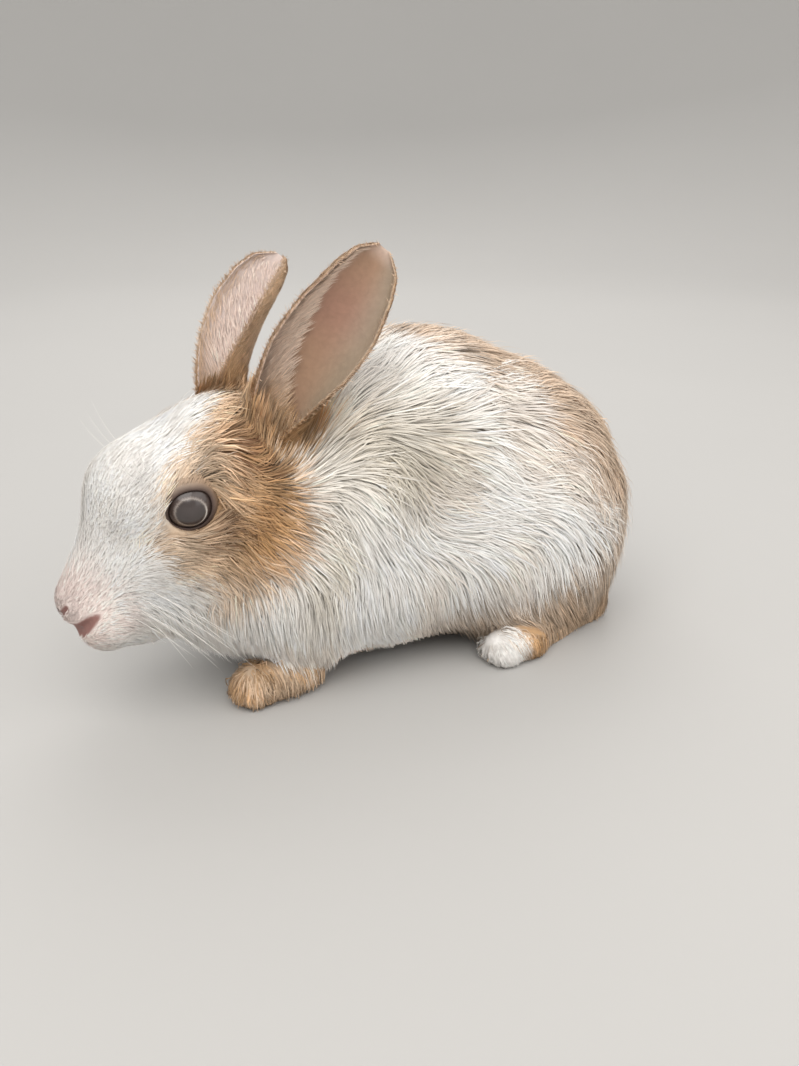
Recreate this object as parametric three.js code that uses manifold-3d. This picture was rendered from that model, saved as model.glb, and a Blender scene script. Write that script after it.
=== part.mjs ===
// A young angora rabbit crouching on all fours, life size, in millimetres.
// +Z is up, the nose points along -X and the rabbit's left side faces -Y.
// The body is drawn as smoothly blended masses, meshed on a grid and parted into named pieces.
import * as THREE from "three";
import { mergeVertices } from "three/addons/utils/BufferGeometryUtils.js";
import Module from "manifold-3d";

const wasm = await Module();
wasm.setup();

// Sides: the sign of Y for each.
const SIDES = { left: -1, right: 1 };
const GAP = 0.3;
const FAR = 500;
const SAME_POINT = 0.001;
const GRID_SHIFTS = 9;
const SHORTEST_EDGE = 0.2;
const DRAWN_APART = 0.03;
const BODY_LOW = [-115, -60, -10];
const BODY_HIGH = [140, 60, 136];
const HEAD_LOW = [-125, -46, 22];
const HEAD_HIGH = [20, 36, 122];
const BODY_CELL = 10;
const HEAD_CELL = 5;
const FOOT_CELL = 4.6;

// Head frame: u runs forward to the nose, v to the rabbit's left, w up to the crown.
const HEAD_CENTRE = new THREE.Vector3(-66, -5, 74);
const HEAD_SCALE = 1.15;
const HEAD_PITCH = THREE.MathUtils.degToRad(43);
const HEAD_YAW = THREE.MathUtils.degToRad(1);
const FORWARD = new THREE.Vector3(
  -Math.cos(HEAD_YAW) * Math.cos(HEAD_PITCH),
  Math.sin(HEAD_YAW) * Math.cos(HEAD_PITCH),
  -Math.sin(HEAD_PITCH),
);
const LEFTWARD = new THREE.Vector3(0, 0, 1).cross(FORWARD).normalize();
const CROWNWARD = FORWARD.clone().cross(LEFTWARD);

// Masses of the body, out to the tips of the coat: balls by centre and radii,
// limbs by two ends and the radius at each. A paired mass stands on both sides.
const TORSO = [
  { name: "shoulders", at: [-24, 0, 50], radii: [34, 36, 40] },
  { name: "back", at: [28, 0, 68], radii: [58, 44, 52], blend: 18 },
  { name: "rump", at: [73, 0, 54], radii: [45, 45, 46], blend: 18 },
  { name: "belly", at: [14, 0, 36], radii: [62, 41, 33], blend: 14 },
  { name: "chest", at: [-46, 0, 46], radii: [22, 27, 30], blend: 14 },
  { name: "thigh", at: [64, 27, 41], radii: [45, 23, 36], blend: 14, paired: true },
  { name: "haunch fringe", at: [72, 31, 23], radii: [33, 15, 20], blend: 10, paired: true },
  { name: "shoulder", at: [-26, 24, 42], radii: [22, 15, 32], blend: 12, paired: true },
];
const NECK = [
  { name: "nape", from: [-44, 0, 72], to: [-8, 0, 66], ends: [26, 38] },
  { name: "throat", from: [-72, -3, 41], to: [-44, 0, 40], ends: [16, 26], blend: 12 },
];
const TAIL = [{ name: "tail", at: [114, 0, 45], radii: [14, 11, 14] }];
const HEAD = [
  { name: "skull", at: [-11, 0, -3], radii: [27, 22, 17.5] },
  { name: "forehead", at: [4.5, 0, 5.5], radii: [14.3, 15, 16], blend: 10 },
  { name: "face", from: [4, 0, 0], to: [34, 0, -6], ends: [16.5, 10], blend: 8 },
  { name: "nose bridge", from: [0, 0, 7], to: [37, 0, -1], ends: [10, 7], blend: 6 },
  { name: "cheek", at: [-7, 12.5, -14], radii: [20, 12, 17], blend: 8, paired: true },
  { name: "whisker pad", at: [35.5, 6, -9.5], radii: [10.5, 7.5, 9], blend: 6, paired: true },
  { name: "brow", at: [-1, 13.5, 8], radii: [12, 6.5, 5], blend: 8, paired: true },
  { name: "cheekbone", at: [7, 11, -7], radii: [19, 8.5, 10], blend: 10, paired: true },
  { name: "jaw", from: [24, 4, -16.5], to: [-6, 11, -22], ends: [8.5, 12], blend: 8, paired: true },
  { name: "chin", at: [31, 0, -18.5], radii: [10.5, 8, 6.5], blend: 4 },
];
// How far the masses run into one another where they meet.
const BLENDS = { neck: 14, head: 8, tail: 5, legs: 6 };
// The right foreleg stands a little behind the left one.
const FORELEG_SETBACK = { left: 0, right: 14 };
const forelegMasses = (side) => {
  const x = FORELEG_SETBACK[side];
  const y = SIDES[side];
  return [
    { name: "forearm", from: [-24 + x, 20 * y, 36], to: [-28 + x, 21 * y, 11], ends: [12, 8.5] },
    { name: "forepaw", at: [-38 + x, 22 * y, 7.2], radii: [17, 9.5, 8], blend: 6 },
  ];
};
const hindFootMasses = (side) => {
  const y = SIDES[side];
  return [
    { name: "hock", from: [96, 27 * y, 8.3], to: [54, 40 * y, 7.4], ends: [9, 8] },
    { name: "hind toes", at: [50, 41 * y, 7], radii: [13, 9.5, 7.5], blend: 5 },
  ];
};

// Planes that part the body, each by a point and a normal in the middle plane.
const HEAD_BACK = { point: [-50, 0, 41], normal: [-0.752, 0, 0.659] };
const HEAD_BELOW = { point: [-50, 0, 41], normal: [-0.467, 0, 0.884] };
const TORSO_FRONT = { point: [-44, 0, 22], normal: [0.741, 0, -0.672] };

// Rounded cutters that part the legs, the haunches and the tail from the torso.
const FORELEG_CUT = { from: [-21, 21, 33], to: [-29, 22, 4], radius: 14.5 };
const FOREPAW_TOP = 14;
const FOREPAW_CUT = { from: [-50, 22, 6], to: [-26, 22, 6], radius: 13 };
const HAUNCH_CUT = { at: [62, 41, 40], radii: [42, 25, 34] };
const TAIL_CUT = { at: [122, 0, 46], radii: [13, 14, 16] };

// Eyes: the lids wrap the ball and leave an almond opening.
const EYE_AT = [-3, 17, 1.5];
const EYE_RADIUS = 8.2;
const EYE_ROWS = 7;
const LID_THICKNESS = 1.2;
const LID_OPENING = { half_length: 6.5, half_height: 6.2 };

// Ears: a cupped blade along a spine, its half width and half opening angle given at shares of its length.
const EARS = {
  left: {
    spine: [[-33, -12, 81], [-27, -16, 104], [-14, -24, 127], [4.5, -25, 149]],
    opens: [[-0.75, -0.6, 0.3], [-0.25, -0.95, 0.05]],
  },
  right: {
    spine: [[-38, 8, 82], [-35, 12, 106], [-27, 17, 126], [-12, 17, 143.5]],
    opens: [[-0.95, 0, 0.2], [-0.9, -0.35, 0.1]],
  },
};
const EAR_SHARES = [0, 0.12, 0.3, 0.5, 0.7, 0.85, 0.94, 1];
const EAR_HALF_WIDTHS = [10, 11.5, 14.5, 16.5, 16, 13, 9, 2];
const EAR_HALF_ANGLES = [150, 125, 95, 75, 62, 52, 45, 40];
const EAR_RIM = 0.8;
const EAR_MIDDLE = 2;
const EAR_ROOT_DEPTH = 7;
const EAR_STEPS = 10;
const EAR_STRIPS = 6;

// Mouth and nostrils: grooves given by directions from the middle of the muzzle.
const MUZZLE_MIDDLE = [28, 0, -7];
const NOSTRIL = { radius: 0.9, way: [[1, 0.09, 0.16], [1, 0.2, 0.24], [1, 0.33, 0.36], [1, 0.42, 0.38]] };
const PHILTRUM = { radius: 0.6, way: [[1, 0, 0.12], [1, 0, -0.1], [1, 0, -0.38]] };
const MOUTH = {
  radius: 0.7,
  way: [[0.25, 1, -0.62], [0.8, 0.75, -0.72], [1, 0, -0.42], [0.8, -0.75, -0.72], [0.25, -1, -0.62]],
};

// Coat: locks this deep stand on a core that reaches half way to their tips.
const LOCK_DEPTH = { body: 10, nape: 6 };
const CORE_SHARE = 0.5;
const LOCK = { length: 38, width: 16, thickness: 2.8, root: 2.5, spacing: 18, swing: 0.5, steps: 3 };
const HEAD_LOCK = { length: 22, width: 12, thickness: 2.2, root: 2, spacing: 13.5, swing: 0.4, steps: 3 };
const LOCK_PROFILE = [0.85, 1, 0.65];
const LOCK_SIZES = [0.85, 1.15];
const LOCK_RISE = 1.4;
const TIP_DEPTH = 0.3;
const LOCK_SEED = 7;
const ROOT_CELL = 5;
const LEAST_LOCK_DEPTH = 3;
const LOWEST_ROOT = 12;

// The coat's lie: where the flank, the rump, the chest and the crown begin and end, how far the coat turns
// down on each, and how much less it points back there.
const LIE = {
  low: [55, 100],
  rear: [30, 110],
  front: [-60, -5],
  crown: [-4, 14],
  down: { back: 0.2, flank: 0.35, rump: 0.8, chest: 0.6 },
  turned: { rump: 0.6, chest: 0.3, cheek: 0.6 },
};

const vector = (p) => new THREE.Vector3(p[0], p[1], p[2]);
const mirrored = (p, side) => [p[0], p[1] * SIDES[side], p[2]];

function atHead(p) {
  return HEAD_CENTRE.clone()
    .addScaledVector(FORWARD, p[0] * HEAD_SCALE)
    .addScaledVector(LEFTWARD, p[1] * HEAD_SCALE)
    .addScaledVector(CROWNWARD, p[2] * HEAD_SCALE);
}

function toHead(p) {
  const q = vector(p).sub(HEAD_CENTRE).divideScalar(HEAD_SCALE);
  return [q.dot(FORWARD), q.dot(LEFTWARD), q.dot(CROWNWARD)];
}

// Distances to the surface of a mass, negative inside.
function ballDistance(p, at, radii) {
  const near = Math.hypot(...at.map((c, k) => (p[k] - c) / radii[k]));
  const slope = Math.hypot(...at.map((c, k) => (p[k] - c) / radii[k] ** 2));
  return (near * (near - 1)) / Math.max(slope, 1e-9);
}

function limbDistance(p, from, to, ends) {
  const along = to.map((c, k) => c - from[k]);
  const reach = p.map((c, k) => c - from[k]);
  const dot = along[0] * reach[0] + along[1] * reach[1] + along[2] * reach[2];
  const share = Math.min(1, Math.max(0, dot / along.reduce((sum, c) => sum + c * c, 0)));
  return Math.hypot(...reach.map((c, k) => c - share * along[k])) - ends[0] - share * (ends[1] - ends[0]);
}

function blended(a, b, blend) {
  const overlap = Math.max(blend - Math.abs(a - b), 0) / blend;
  return Math.min(a, b) - overlap * overlap * blend * 0.25;
}

function massDistance(p, mass) {
  return mass.radii ? ballDistance(p, mass.at, mass.radii) : limbDistance(p, mass.from, mass.to, mass.ends);
}

// One blended distance to a list of masses. A paired mass is measured on both sides.
function massesDistance(p, masses) {
  let distance = Infinity;
  for (const mass of masses) {
    for (const sign of mass.paired ? [1, -1] : [1]) {
      const d = massDistance([p[0], p[1] * sign, p[2]], mass);
      distance = distance === Infinity ? d : blended(distance, d, mass.blend);
    }
  }
  return distance;
}

const headDistance = (p) => massesDistance(toHead(p), HEAD) * HEAD_SCALE;

const bodyDistance = (p) => blended(massesDistance(p, TORSO), massesDistance(p, NECK), BLENDS.neck);

function trunkDistance(p) {
  const trunk = blended(bodyDistance(p), headDistance(p), BLENDS.head);
  return blended(trunk, massesDistance(p, TAIL), BLENDS.tail);
}

function legsDistance(p) {
  const legs = [forelegMasses, hindFootMasses].flatMap((masses) =>
    Object.keys(SIDES).map((side) => massesDistance(p, masses(side))),
  );
  return Math.min(...legs);
}

const outline = (p) => blended(trunkDistance(p), legsDistance(p), BLENDS.legs);

const smooth = THREE.MathUtils.smoothstep;
const mix = THREE.MathUtils.lerp;

// How far a point belongs to the head rather than the body, from 0 to 1.
const onHead = (p) => smooth(bodyDistance(p) - headDistance(p), -8, 8);

// Depth of the locks: deepest on the body, none on the face and the feet.
function lockDepth(p) {
  const [u, , w] = toHead(p);
  const behindFace = 1 - smooth(u + Math.max(w, 0), -14, 4);
  const depth = mix(LOCK_DEPTH.body, LOCK_DEPTH.nape * behindFace, onHead(p));
  return depth * (1 - smooth(trunkDistance(p) - legsDistance(p), -2, 5));
}

const core = (p) => outline(p) + CORE_SHARE * lockDepth(p);
const trunkCore = (p) => trunkDistance(p) + CORE_SHARE * lockDepth(p);

// The way that the coat lies at a point, before it is laid along the surface: back along the body,
// and more downwards on the flanks, the rump and the chest.
function lie(p) {
  const low = 1 - smooth(p[2], ...LIE.low);
  const rear = smooth(p[0], ...LIE.rear);
  const front = 1 - smooth(p[0], ...LIE.front);
  const down = LIE.down.back + LIE.down.flank * low + LIE.down.rump * rear + LIE.down.chest * front * low;
  const body = new THREE.Vector3(1 - LIE.turned.rump * rear - LIE.turned.chest * front, 0, -down);
  const crown = smooth(toHead(p)[2], ...LIE.crown);
  const head = FORWARD.clone().negate().addScaledVector(CROWNWARD, LIE.turned.cheek * (crown - 1));
  return body.lerp(head, onHead(p));
}

function slopeOf(field, p) {
  const h = 0.5;
  const slope = [0, 1, 2].map((k) => {
    const [ahead, behind] = [[...p], [...p]];
    ahead[k] += h;
    behind[k] -= h;
    return field(ahead) - field(behind);
  });
  return vector(slope).normalize();
}

// Moves a point along the surface's normal until it is at the given level of the outline.
function toLevel(point, level) {
  for (let n = 0; n < 3; n++) {
    const p = point.toArray();
    point.addScaledVector(slopeOf(outline, p), level - outline(p));
  }
}

// Even random numbers from 0 to 1, the same in every run.
function seededRandom(seed) {
  let state = seed;
  return () => {
    state = (state * 1664525 + 1013904223) % 4294967296;
    return state / 4294967296;
  };
}

// One lock: rings of four points about a line that rises from under the core to the outline.
function lockSolid(start, form, random) {
  const point = start.clone();
  const rootLevel = -CORE_SHARE * lockDepth(start.toArray()) - form.root;
  const size = mix(LOCK_SIZES[0], LOCK_SIZES[1], random());
  const turn = form.swing * (random() - 0.5);
  const bend = (form.swing * (random() - 0.5)) / form.steps;
  const positions = [];
  for (let n = 0; n <= form.steps; n++) {
    const share = n / form.steps;
    toLevel(point, rootLevel * (1 - share) ** LOCK_RISE - TIP_DEPTH);
    const normal = slopeOf(outline, point.toArray());
    const along = lie(point.toArray());
    along.addScaledVector(normal, -along.dot(normal)).normalize();
    along.applyAxisAngle(normal, turn + bend * n);
    const across = normal.clone().cross(along);
    if (n === form.steps) {
      positions.push(...point.toArray());
      break;
    }
    const halfWidth = 0.5 * form.width * size * LOCK_PROFILE[n];
    const halfThickness = 0.5 * form.thickness * (1 - 0.6 * share);
    for (const [side, up] of [[-1, -0.5], [0, 1], [1, -0.5], [0, -1]]) {
      const corner = point.clone().addScaledVector(across, side * halfWidth);
      positions.push(...corner.addScaledVector(normal, up * halfThickness).toArray());
    }
    point.addScaledVector(along, (form.length * size) / form.steps);
  }
  const triangles = [0, 1, 2, 0, 2, 3];
  const tip = 4 * form.steps;
  for (let n = 0; n < form.steps; n++) {
    for (let k = 0; k < 4; k++) {
      const [a, b] = [4 * n + k, 4 * n + ((k + 1) % 4)];
      if (n + 1 === form.steps) triangles.push(a, tip, b);
      else triangles.push(a, a + 4, b + 4, a, b + 4, b);
    }
  }
  const solid = solidOfArrays(positions, triangles);
  if (solid.volume() > 0) return solid;
  for (let n = 0; n < triangles.length; n += 3) {
    [triangles[n], triangles[n + 1]] = [triangles[n + 1], triangles[n]];
  }
  return solidOfArrays(positions, triangles);
}

// Roots spread evenly over the outline wherever locks grow.
function growLocks() {
  const random = seededRandom(LOCK_SEED);
  const { positions } = fieldSurface(trunkDistance, BODY_LOW, BODY_HIGH, ROOT_CELL);
  const places = [];
  for (let n = 0; n < positions.length; n += 3) {
    places.push({ p: positions.slice(n, n + 3), order: random() });
  }
  places.sort((a, b) => a.order - b.order);
  const locks = [];
  for (const { p } of places) {
    if (lockDepth(p) < LEAST_LOCK_DEPTH || p[2] < LOWEST_ROOT) continue;
    const form = onHead(p) > 0.5 ? HEAD_LOCK : LOCK;
    const crowded = ({ root }) => Math.hypot(p[0] - root[0], p[1] - root[1], p[2] - root[2]) < form.spacing;
    if (!locks.some(crowded)) locks.push({ root: p, solid: lockSolid(vector(p), form, random) });
  }
  return locks;
}

// Joins the locks whose roots are near enough to a piece of flesh.
function coated(flesh, near = () => true) {
  return locks.filter(({ root }) => near(root)).reduce((joined, { solid }) => joined.add(solid), flesh);
}

// The surface of field(p) = 0 as points and triangles: one point in each grid cell that the surface crosses,
// and a quad, cut in two, about each grid edge that it crosses. The box's walls close what they cut.
function fieldSurface(field, low, high, cell) {
  const count = low.map((v, k) => Math.ceil((high[k] - v) / cell) + 1);
  const at = (i, j, k) => (i * count[1] + j) * count[2] + k;
  const place = (i, j, k) => [low[0] + i * cell, low[1] + j * cell, low[2] + k * cell];
  const values = new Float64Array(count[0] * count[1] * count[2]);
  const onWall = (...cell3) => cell3.some((v, n) => v === 0 || v === count[n] - 1);
  for (let i = 0; i < count[0]; i++) {
    for (let j = 0; j < count[1]; j++) {
      for (let k = 0; k < count[2]; k++) values[at(i, j, k)] = onWall(i, j, k) ? cell : field(place(i, j, k));
    }
  }
  const corners = [0, 1, 2, 3, 4, 5, 6, 7].map((n) => [n >> 2, (n >> 1) & 1, n & 1]);
  const edges = [];
  for (let a = 0; a < 8; a++) {
    for (const bit of [1, 2, 4]) if (!(a & bit)) edges.push([a, a | bit]);
  }
  const vertexOf = new Map();
  const positions = [];
  for (let i = 0; i + 1 < count[0]; i++) {
    for (let j = 0; j + 1 < count[1]; j++) {
      for (let k = 0; k + 1 < count[2]; k++) {
        const level = corners.map(([x, y, z]) => values[at(i + x, j + y, k + z)]);
        const crossed = edges.filter(([a, b]) => level[a] < 0 !== level[b] < 0);
        if (!crossed.length) continue;
        const sum = [0, 0, 0];
        for (const [a, b] of crossed) {
          const share = level[a] / (level[a] - level[b]);
          for (let n = 0; n < 3; n++) sum[n] += corners[a][n] + share * (corners[b][n] - corners[a][n]);
        }
        vertexOf.set(at(i, j, k), positions.length / 3);
        const origin = place(i, j, k);
        for (let n = 0; n < 3; n++) positions.push(origin[n] + (cell * sum[n]) / crossed.length);
      }
    }
  }
  const triangles = [];
  const steps = [[1, 0, 0], [0, 1, 0], [0, 0, 1]];
  for (let i = 0; i + 1 < count[0]; i++) {
    for (let j = 0; j + 1 < count[1]; j++) {
      for (let k = 0; k + 1 < count[2]; k++) {
        for (let axis = 0; axis < 3; axis++) {
          const inside = values[at(i, j, k)] < 0;
          const next = steps[axis];
          if (inside === values[at(i + next[0], j + next[1], k + next[2])] < 0) continue;
          const [s, t] = [steps[(axis + 1) % 3], steps[(axis + 2) % 3]];
          const ring = [[0, 0], [1, 0], [1, 1], [0, 1]].map(([m, n]) =>
            vertexOf.get(at(i - m * s[0] - n * t[0], j - m * s[1] - n * t[1], k - m * s[2] - n * t[2])),
          );
          if (!inside) ring.reverse();
          triangles.push(ring[0], ring[1], ring[2], ring[0], ring[2], ring[3]);
        }
      }
    }
  }
  return { positions, triangles };
}

// Whether any edge joins more than two triangles, as happens where two sheets meet inside one grid cell.
function hasJoinedSheets(triangles) {
  const uses = new Map();
  for (let n = 0; n < triangles.length; n++) {
    const [a, b] = [triangles[n], triangles[n % 3 === 2 ? n - 2 : n + 1]];
    const key = `${Math.min(a, b)} ${Math.max(a, b)}`;
    uses.set(key, (uses.get(key) || 0) + 1);
  }
  return [...uses.values()].some((count) => count > 2);
}

// The field's solid, on the first of a few shifted grids that keeps every two sheets apart.
function fieldSolid(field, low, high, cell) {
  for (let shift = 0; shift < cell; shift += cell / GRID_SHIFTS) {
    const shifted = low.map((v, k) => v - shift * (1 - 0.3 * k));
    const { positions, triangles } = fieldSurface(field, shifted, high, cell);
    if (!hasJoinedSheets(triangles)) return solidOfArrays(positions, triangles);
  }
  throw new Error("two sheets of the surface meet on every grid");
}

function solidOfArrays(positions, triangles) {
  return new wasm.Manifold(
    new wasm.Mesh({
      numProp: 3,
      vertProperties: new Float32Array(positions),
      triVerts: new Uint32Array(triangles),
    }),
  );
}

// A closed three.js geometry as a solid.
function solidOf(geometry) {
  const bare = geometry.clone();
  bare.deleteAttribute("normal");
  bare.deleteAttribute("uv");
  const merged = mergeVertices(bare, 1e-4);
  return solidOfArrays(merged.attributes.position.array, merged.index.array);
}

// The largest closed surface of a solid, which drops loose scraps and fills sealed hollows.
function largest(solid) {
  const bodies = solid.decompose();
  return bodies.reduce((most, body) => (body.volume() > most.volume() ? body : most));
}

function geometryOf(solid) {
  const mesh = solid.getMesh();
  const geometry = new THREE.BufferGeometry();
  geometry.setAttribute("position", new THREE.BufferAttribute(new Float32Array(mesh.vertProperties), 3));
  geometry.setIndex(new THREE.BufferAttribute(new Uint32Array(mesh.triVerts), 1));
  return geometry;
}

// Closes the shortest edges of a mesh, each only where the surface stays closed round it.
function withoutShortEdges(positions, triangles, shortest) {
  const point = (v) => positions.slice(3 * v, 3 * v + 3);
  const distance = (a, b) => Math.hypot(...point(a).map((c, k) => c - point(b)[k]));
  for (;;) {
    const neighbours = new Map();
    for (let n = 0; n < triangles.length; n++) {
      const next = n % 3 === 2 ? n - 2 : n + 1;
      if (!neighbours.has(triangles[n])) neighbours.set(triangles[n], new Set());
      if (!neighbours.has(triangles[next])) neighbours.set(triangles[next], new Set());
      neighbours.get(triangles[n]).add(triangles[next]);
      neighbours.get(triangles[next]).add(triangles[n]);
    }
    const joined = new Map();
    const busy = new Set();
    for (const [a, around] of neighbours) {
      for (const b of around) {
        if (a > b || busy.has(a) || busy.has(b) || distance(a, b) > shortest) continue;
        const shared = [...around].filter((c) => neighbours.get(b).has(c));
        if (shared.length !== 2) continue;
        joined.set(b, a);
        for (const c of [a, b, ...around, ...neighbours.get(b)]) busy.add(c);
      }
    }
    if (!joined.size) return triangles;
    const moved = triangles.map((v) => joined.get(v) ?? v);
    triangles = [];
    for (let n = 0; n < moved.length; n += 3) {
      const [a, b, c] = moved.slice(n, n + 3);
      if (a !== b && b !== c && c !== a) triangles.push(a, b, c);
    }
  }
}

// Draws vertices that lie on one another into their own solid, so that sheets that touch come apart.
function drawApart(positions, triangles) {
  const inward = new Map();
  for (let n = 0; n < triangles.length; n += 3) {
    const corners = triangles.slice(n, n + 3);
    const [a, b, c] = corners.map((v) => new THREE.Vector3().fromArray(positions, 3 * v));
    const facing = b.sub(a).cross(c.sub(a));
    for (const v of corners) inward.set(v, (inward.get(v) || new THREE.Vector3()).sub(facing));
  }
  const places = new Map();
  for (const v of inward.keys()) {
    const point = [...positions.slice(3 * v, 3 * v + 3)];
    const place = point.map((x) => Math.round(x / SAME_POINT)).join(" ");
    places.set(place, [...(places.get(place) || []), v]);
  }
  for (const together of places.values()) {
    if (together.length === 1) continue;
    for (const v of together) {
      const way = inward.get(v).setLength(DRAWN_APART);
      way.toArray().forEach((step, k) => (positions[3 * v + k] += step));
    }
  }
}

// A solid moved into place, without the slivers that cutting leaves.
function settled(solid, shift) {
  const geometry = geometryOf(largest(solid)).translate(shift.x, shift.y, shift.z);
  const positions = geometry.attributes.position.array;
  const triangles = withoutShortEdges(positions, [...geometry.index.array], SHORTEST_EDGE);
  drawApart(positions, triangles);
  return largest(solidOfArrays(positions, triangles));
}

// Everything on the normal's side of a plane, moved back by the clearance.
function halfSpace(plane, clearance) {
  const normal = vector(plane.normal).normalize();
  const box = new THREE.BoxGeometry(FAR, FAR, FAR);
  box.translate(0, 0, FAR / 2 - clearance);
  box.applyQuaternion(new THREE.Quaternion().setFromUnitVectors(new THREE.Vector3(0, 0, 1), normal));
  box.translate(...plane.point);
  return solidOf(box);
}

const above = (height) => halfSpace({ point: [0, 0, height], normal: [0, 0, 1] }, 0);

function ballSolid(at, radii, clearance, rows = 8) {
  const ball = new THREE.SphereGeometry(1, rows * 2, rows);
  ball.rotateX(Math.PI / 2);
  ball.scale(...radii.map((r) => r + clearance));
  ball.translate(...at);
  return solidOf(ball);
}

function capsuleSolid(cut, side, clearance) {
  const [from, to] = [vector(mirrored(cut.from, side)), vector(mirrored(cut.to, side))];
  const along = to.clone().sub(from);
  const capsule = new THREE.CapsuleGeometry(cut.radius + clearance, along.length(), 3, 12);
  const turn = new THREE.Quaternion().setFromUnitVectors(new THREE.Vector3(0, 1, 0), along.normalize());
  capsule.applyQuaternion(turn);
  capsule.translate(...from.add(to).multiplyScalar(0.5).toArray());
  return solidOf(capsule);
}

// Where a line from a point inside, given in the head frame, comes out of the field.
function surfaceFrom(start, direction, field) {
  const origin = atHead(start);
  const ray = atHead(direction).sub(HEAD_CENTRE).normalize();
  let reach = 0;
  const step = 0.1;
  while (field(origin.clone().addScaledVector(ray, reach).toArray()) < 0) reach += step;
  return origin.addScaledVector(ray, reach);
}

// A round groove through points of the muzzle, as the tube that cuts it.
function grooveSolid(groove, sign) {
  const points = groove.way.map(([u, v, w]) => surfaceFrom(MUZZLE_MIDDLE, [u, v * sign, w], headDistance));
  const section = new THREE.Shape().absarc(0, 0, groove.radius, 0, 2 * Math.PI);
  const tube = new THREE.ExtrudeGeometry(section, {
    steps: 2 * groove.way.length,
    curveSegments: 2,
    extrudePath: new THREE.CatmullRomCurve3(points),
  });
  return solidOf(tube);
}

function shareValue(shares, values, t) {
  const next = Math.max(1, shares.findIndex((share) => share >= t));
  const part = (t - shares[next - 1]) / (shares[next] - shares[next - 1]);
  return values[next - 1] + part * (values[next] - values[next - 1]);
}

// The ear as a grid of points, closed round its rim, with both faces split into triangles alike.
function earSolid(side, clearance) {
  const ear = EARS[side];
  const spine = new THREE.CubicBezierCurve3(...ear.spine.map(vector));
  let root = 0.6;
  while (outline(spine.getPoint(root).toArray()) > -EAR_ROOT_DEPTH) root -= 0.01;
  root -= clearance / spine.getLength();
  const faces = [[], []];
  for (let i = 0; i <= EAR_STEPS; i++) {
    const t = root + (1 - root) * (i / EAR_STEPS);
    const middle = spine.getPoint(t);
    const along = spine.getTangent(t);
    const opens = vector(ear.opens[0]).lerp(vector(ear.opens[1]), t);
    opens.addScaledVector(along, -opens.dot(along)).normalize();
    const across = along.clone().cross(opens);
    const halfWidth = shareValue(EAR_SHARES, EAR_HALF_WIDTHS, t) + clearance;
    const halfAngle = THREE.MathUtils.degToRad(shareValue(EAR_SHARES, EAR_HALF_ANGLES, t));
    const bend = halfWidth / halfAngle;
    for (let j = 0; j <= EAR_STRIPS; j++) {
      const s = (2 * j) / EAR_STRIPS - 1;
      const thickness = EAR_RIM + (EAR_MIDDLE - EAR_RIM) * (1 - s ** 4) * Math.min(1, 5 * (1 - t));
      [-clearance, thickness + clearance].forEach((offset, face) => {
        const radius = bend + offset;
        const point = middle.clone().addScaledVector(across, radius * Math.sin(s * halfAngle));
        faces[face].push(point.addScaledVector(opens, bend - radius * Math.cos(s * halfAngle)));
      });
    }
  }
  return closedGrid(faces, EAR_STEPS + 1, EAR_STRIPS + 1);
}

// Two grids of rows by columns joined round their rim into one closed body.
function closedGrid(faces, rows, columns) {
  const size = rows * columns;
  const positions = faces.flat().flatMap((p) => p.toArray());
  const triangles = [];
  for (let i = 0; i + 1 < rows; i++) {
    for (let j = 0; j + 1 < columns; j++) {
      const [a, d] = [i * columns + j, (i + 1) * columns + j];
      const [b, c] = [a + 1, d + 1];
      triangles.push(a, b, c, a, c, d);
      triangles.push(size + a, size + c, size + b, size + a, size + d, size + c);
    }
  }
  const rim = [];
  for (let j = 0; j + 1 < columns; j++) rim.push(j);
  for (let i = 0; i + 1 < rows; i++) rim.push(i * columns + columns - 1);
  for (let j = columns - 1; j > 0; j--) rim.push((rows - 1) * columns + j);
  for (let i = rows - 1; i > 0; i--) rim.push(i * columns);
  rim.forEach((a, n) => {
    const b = rim[(n + 1) % rim.length];
    triangles.push(a, size + a, size + b, a, size + b, b);
  });
  const solid = solidOfArrays(positions, triangles);
  if (solid.volume() > 0) return solid;
  for (let n = 0; n < triangles.length; n += 3) {
    [triangles[n], triangles[n + 1]] = [triangles[n + 1], triangles[n]];
  }
  return solidOfArrays(positions, triangles);
}

const eyePlace = (side) => atHead([EYE_AT[0], -EYE_AT[1] * SIDES[side], EYE_AT[2]]);

// The part of the lids that stays open: an almond prism looking out along the eye.
function lidOpening(side) {
  const outward = LEFTWARD.clone().multiplyScalar(-SIDES[side]).addScaledVector(FORWARD, 0.28).normalize();
  const lengthwise = FORWARD.clone().addScaledVector(outward, -FORWARD.dot(outward)).normalize();
  const upward = outward.clone().cross(lengthwise);
  const prism = new THREE.CylinderGeometry(1, 1, FAR / 20, 18);
  prism.rotateX(Math.PI / 2);
  prism.scale(LID_OPENING.half_length, LID_OPENING.half_height, 1);
  prism.translate(0, 0, FAR / 40 + EYE_RADIUS / 3);
  const frame = new THREE.Matrix4().makeBasis(lengthwise, upward, outward);
  if (frame.determinant() < 0) frame.makeBasis(lengthwise, upward.negate(), outward);
  prism.applyMatrix4(frame);
  prism.translate(...eyePlace(side).toArray());
  return solidOf(prism);
}

const floor = above(0);

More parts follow.
